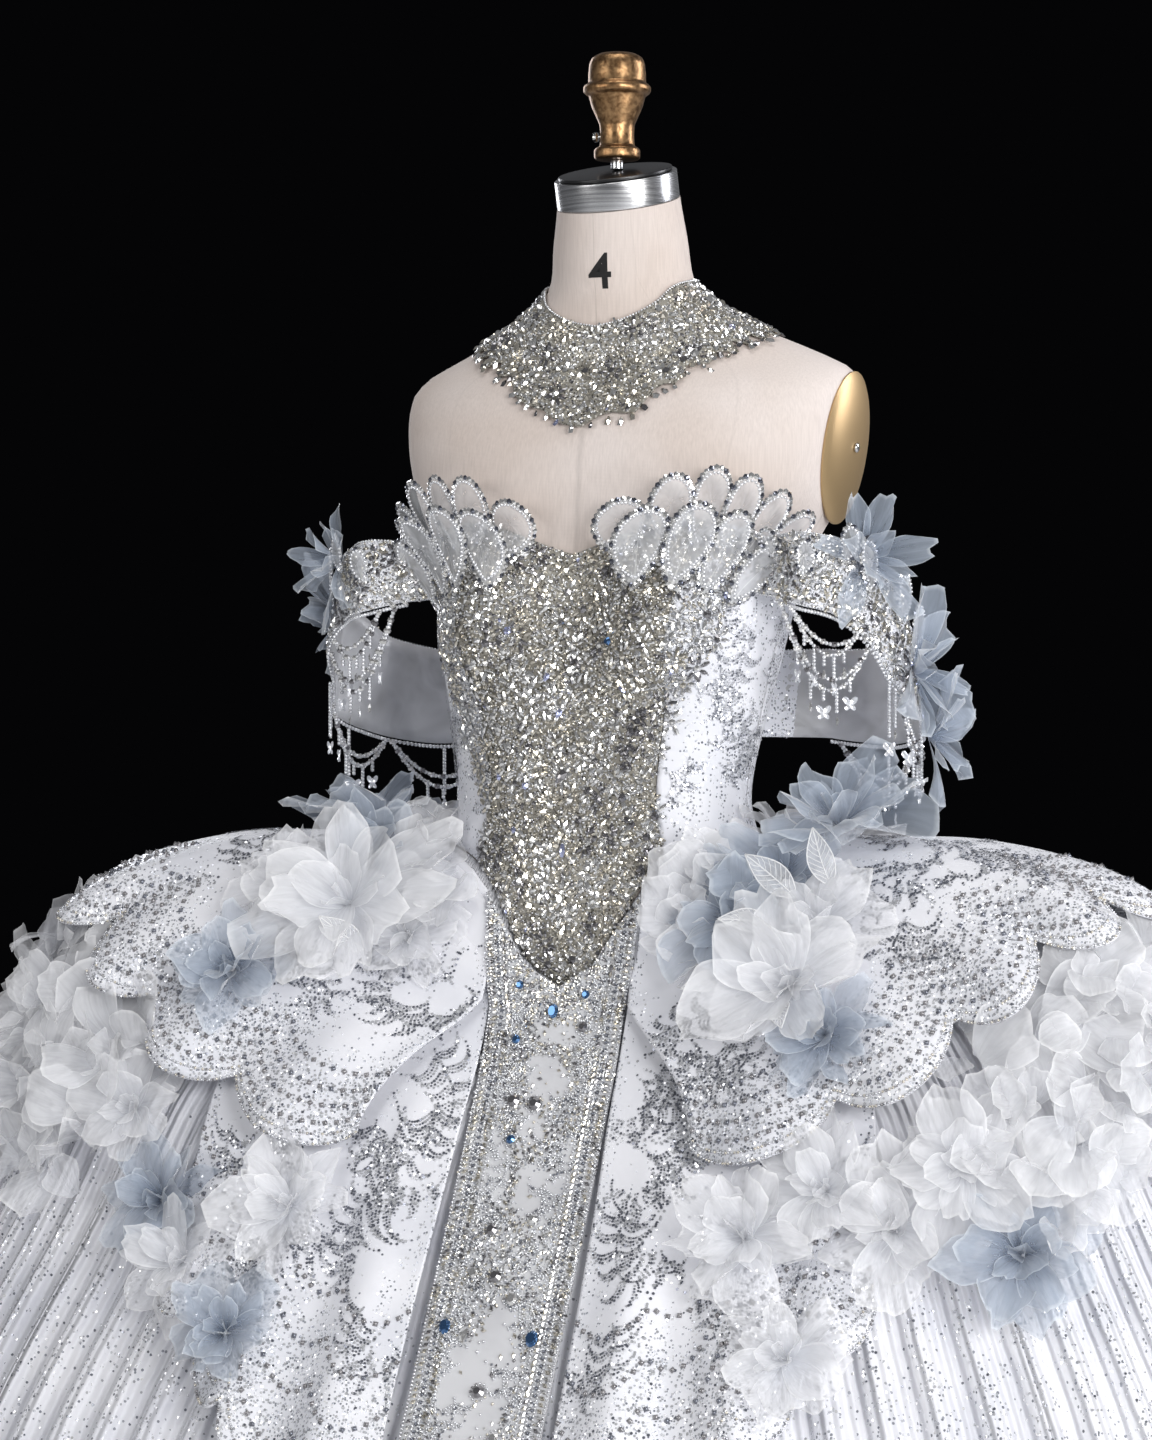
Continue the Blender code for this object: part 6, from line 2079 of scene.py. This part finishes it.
class GownLooks(bpy.types.PropertyGroup):
    """Sizes and colours that a maker would change."""
    stone_pitch: FloatProperty(
        name="Stone pitch", description="Distance between the loose stones of the bodice front",
        default=0.0062, min=0.003, max=0.03, unit="LENGTH")
    sequin_radius: FloatProperty(
        name="Sequin radius", description="Radius of the sequins on the tiers and the skirt",
        default=0.0013, min=0.0005, max=0.006, unit="LENGTH")
    flower_size: FloatProperty(
        name="Flower size", description="Size of the large flowers, as a part of their solids' size",
        default=1.04, min=0.6, max=1.3)
    hip_petals: IntProperty(
        name="Hip petals", description="Loose petals that stand out of each hip ruffle",
        default=280, min=20, max=600)
    satin: shade_choice("Satin", "Colour of the satin of the tiers and the bodice", "#EEEEF3")
    tulle: shade_choice("Tulle", "Colour of the pleated tulle skirt", "#F0F0F5")
    white_organza: shade_choice("White organza", "Colour of the white petals", "#FBFBFE")
    blue_organza: shade_choice("Blue organza", "Colour of the blue petals", "#BFC9D7")


class GownBuilder:
    """What every operator of this file has in common."""
    bl_options = {"REGISTER", "UNDO"}


class GOWN_OT_form(GownBuilder, bpy.types.Operator):
    """Cover the dress form in linen with its seams and size numeral"""
    bl_idname = "gown.form"
    bl_label = "Dress form"

    def execute(self, context):
        build_form()
        build_numeral()
        return {"FINISHED"}


class GOWN_OT_fittings(GownBuilder, bpy.types.Operator):
    """Turn the neck cap, finial, arm plates and stand"""
    bl_idname = "gown.fittings"
    bl_label = "Metal fittings and stand"

    def execute(self, context):
        build_neck_cap()
        build_finial()
        for side, end in HANDS:
            build_arm_plate(side, end)
        build_stand()
        return {"FINISHED"}


class GOWN_OT_bodice(GownBuilder, bpy.types.Operator):
    """Cut the bodice and bead its front"""
    bl_idname = "gown.bodice"
    bl_label = "Bodice"

    def execute(self, context):
        build_bodice()
        build_bodice_stones(looks().stone_pitch)
        return {"FINISHED"}


class GOWN_OT_collar(GownBuilder, bpy.types.Operator):
    """Make the beaded collar"""
    bl_idname = "gown.collar"
    bl_label = "Collar"

    def execute(self, context):
        build_collar(looks().stone_pitch)
        return {"FINISHED"}


class GOWN_OT_petals(GownBuilder, bpy.types.Operator):
    """Wire the organza petals that stand along the neckline"""
    bl_idname = "gown.petals"
    bl_label = "Neckline petals"

    def execute(self, context):
        for side, end in HANDS:
            for row_name in FRILLS:
                build_frill(side, end, row_name)
        return {"FINISHED"}


class GOWN_OT_sleeves(GownBuilder, bpy.types.Operator):
    """Make the drop sleeves with their bead swags"""
    bl_idname = "gown.sleeves"
    bl_label = "Sleeves and bead swags"

    def execute(self, context):
        for side, end in HANDS:
            build_sleeve(side, end, looks().stone_pitch)
            build_sleeve_petals(side, end)
            build_fringe(side, end)
        return {"FINISHED"}


class GOWN_OT_skirt(GownBuilder, bpy.types.Operator):
    """Pleat the tulle skirt and lay the beaded centre panel on it"""
    bl_idname = "gown.skirt"
    bl_label = "Pleated skirt and panel"

    def execute(self, context):
        build_skirt()
        build_skirt_sequins(looks().sequin_radius)
        build_panel_beads(build_panel())
        return {"FINISHED"}


class GOWN_OT_tiers(GownBuilder, bpy.types.Operator):
    """Hang the glitter tiers and the organza ruffles under them"""
    bl_idname = "gown.tiers"
    bl_label = "Tiers and ruffles"

    def execute(self, context):
        for side, end in HANDS:
            build_tiers(side, end, looks().sequin_radius)
            build_ruffle(side, end)
        return {"FINISHED"}


class GOWN_OT_flowers(GownBuilder, bpy.types.Operator):
    """Sew on the organza flowers"""
    bl_idname = "gown.flowers"
    bl_label = "Organza flowers"

    def execute(self, context):
        build_flowers()
        build_more_flowers()
        build_lace_leaves()
        for side, end in HANDS:
            build_clouds(side, end)
        return {"FINISHED"}


class GOWN_OT_stage(GownBuilder, bpy.types.Operator):
    """Set the floor, the lights and the camera"""
    bl_idname = "gown.stage"
    bl_label = "Studio stage"

    def execute(self, context):
        build_floor()
        build_lights()
        build_world()
        build_camera()
        return {"FINISHED"}


HANDS = ((1, "left"), (-1, "right"))
OPERATORS = [
    GOWN_OT_form, GOWN_OT_fittings, GOWN_OT_bodice, GOWN_OT_collar, GOWN_OT_petals,
    GOWN_OT_sleeves, GOWN_OT_skirt, GOWN_OT_tiers, GOWN_OT_flowers, GOWN_OT_stage,
]


class GOWN_PT_panel(bpy.types.Panel):
    """Lists the gown's sizes and the steps that make it"""
    bl_idname = "GOWN_PT_panel"
    bl_label = "Gown"
    bl_space_type = "VIEW_3D"
    bl_region_type = "UI"
    bl_category = "Gown"

    def draw(self, context):
        for name in GownLooks.__annotations__:
            self.layout.prop(context.scene.gown_looks, name)
        for operator in OPERATORS:
            self.layout.operator(operator.bl_idname)


CLASSES = [GownLooks, *OPERATORS, GOWN_PT_panel]


def register():
    for made in CLASSES:
        bpy.utils.register_class(made)
    bpy.types.Scene.gown_looks = PointerProperty(type=GownLooks)


def unregister():
    del bpy.types.Scene.gown_looks
    for made in reversed(CLASSES):
        bpy.utils.unregister_class(made)


def main():
    register()
    for operator in OPERATORS:
        group, name = operator.bl_idname.split(".")
        getattr(getattr(bpy.ops, group), name)()


if __name__ == "__main__":
    main()
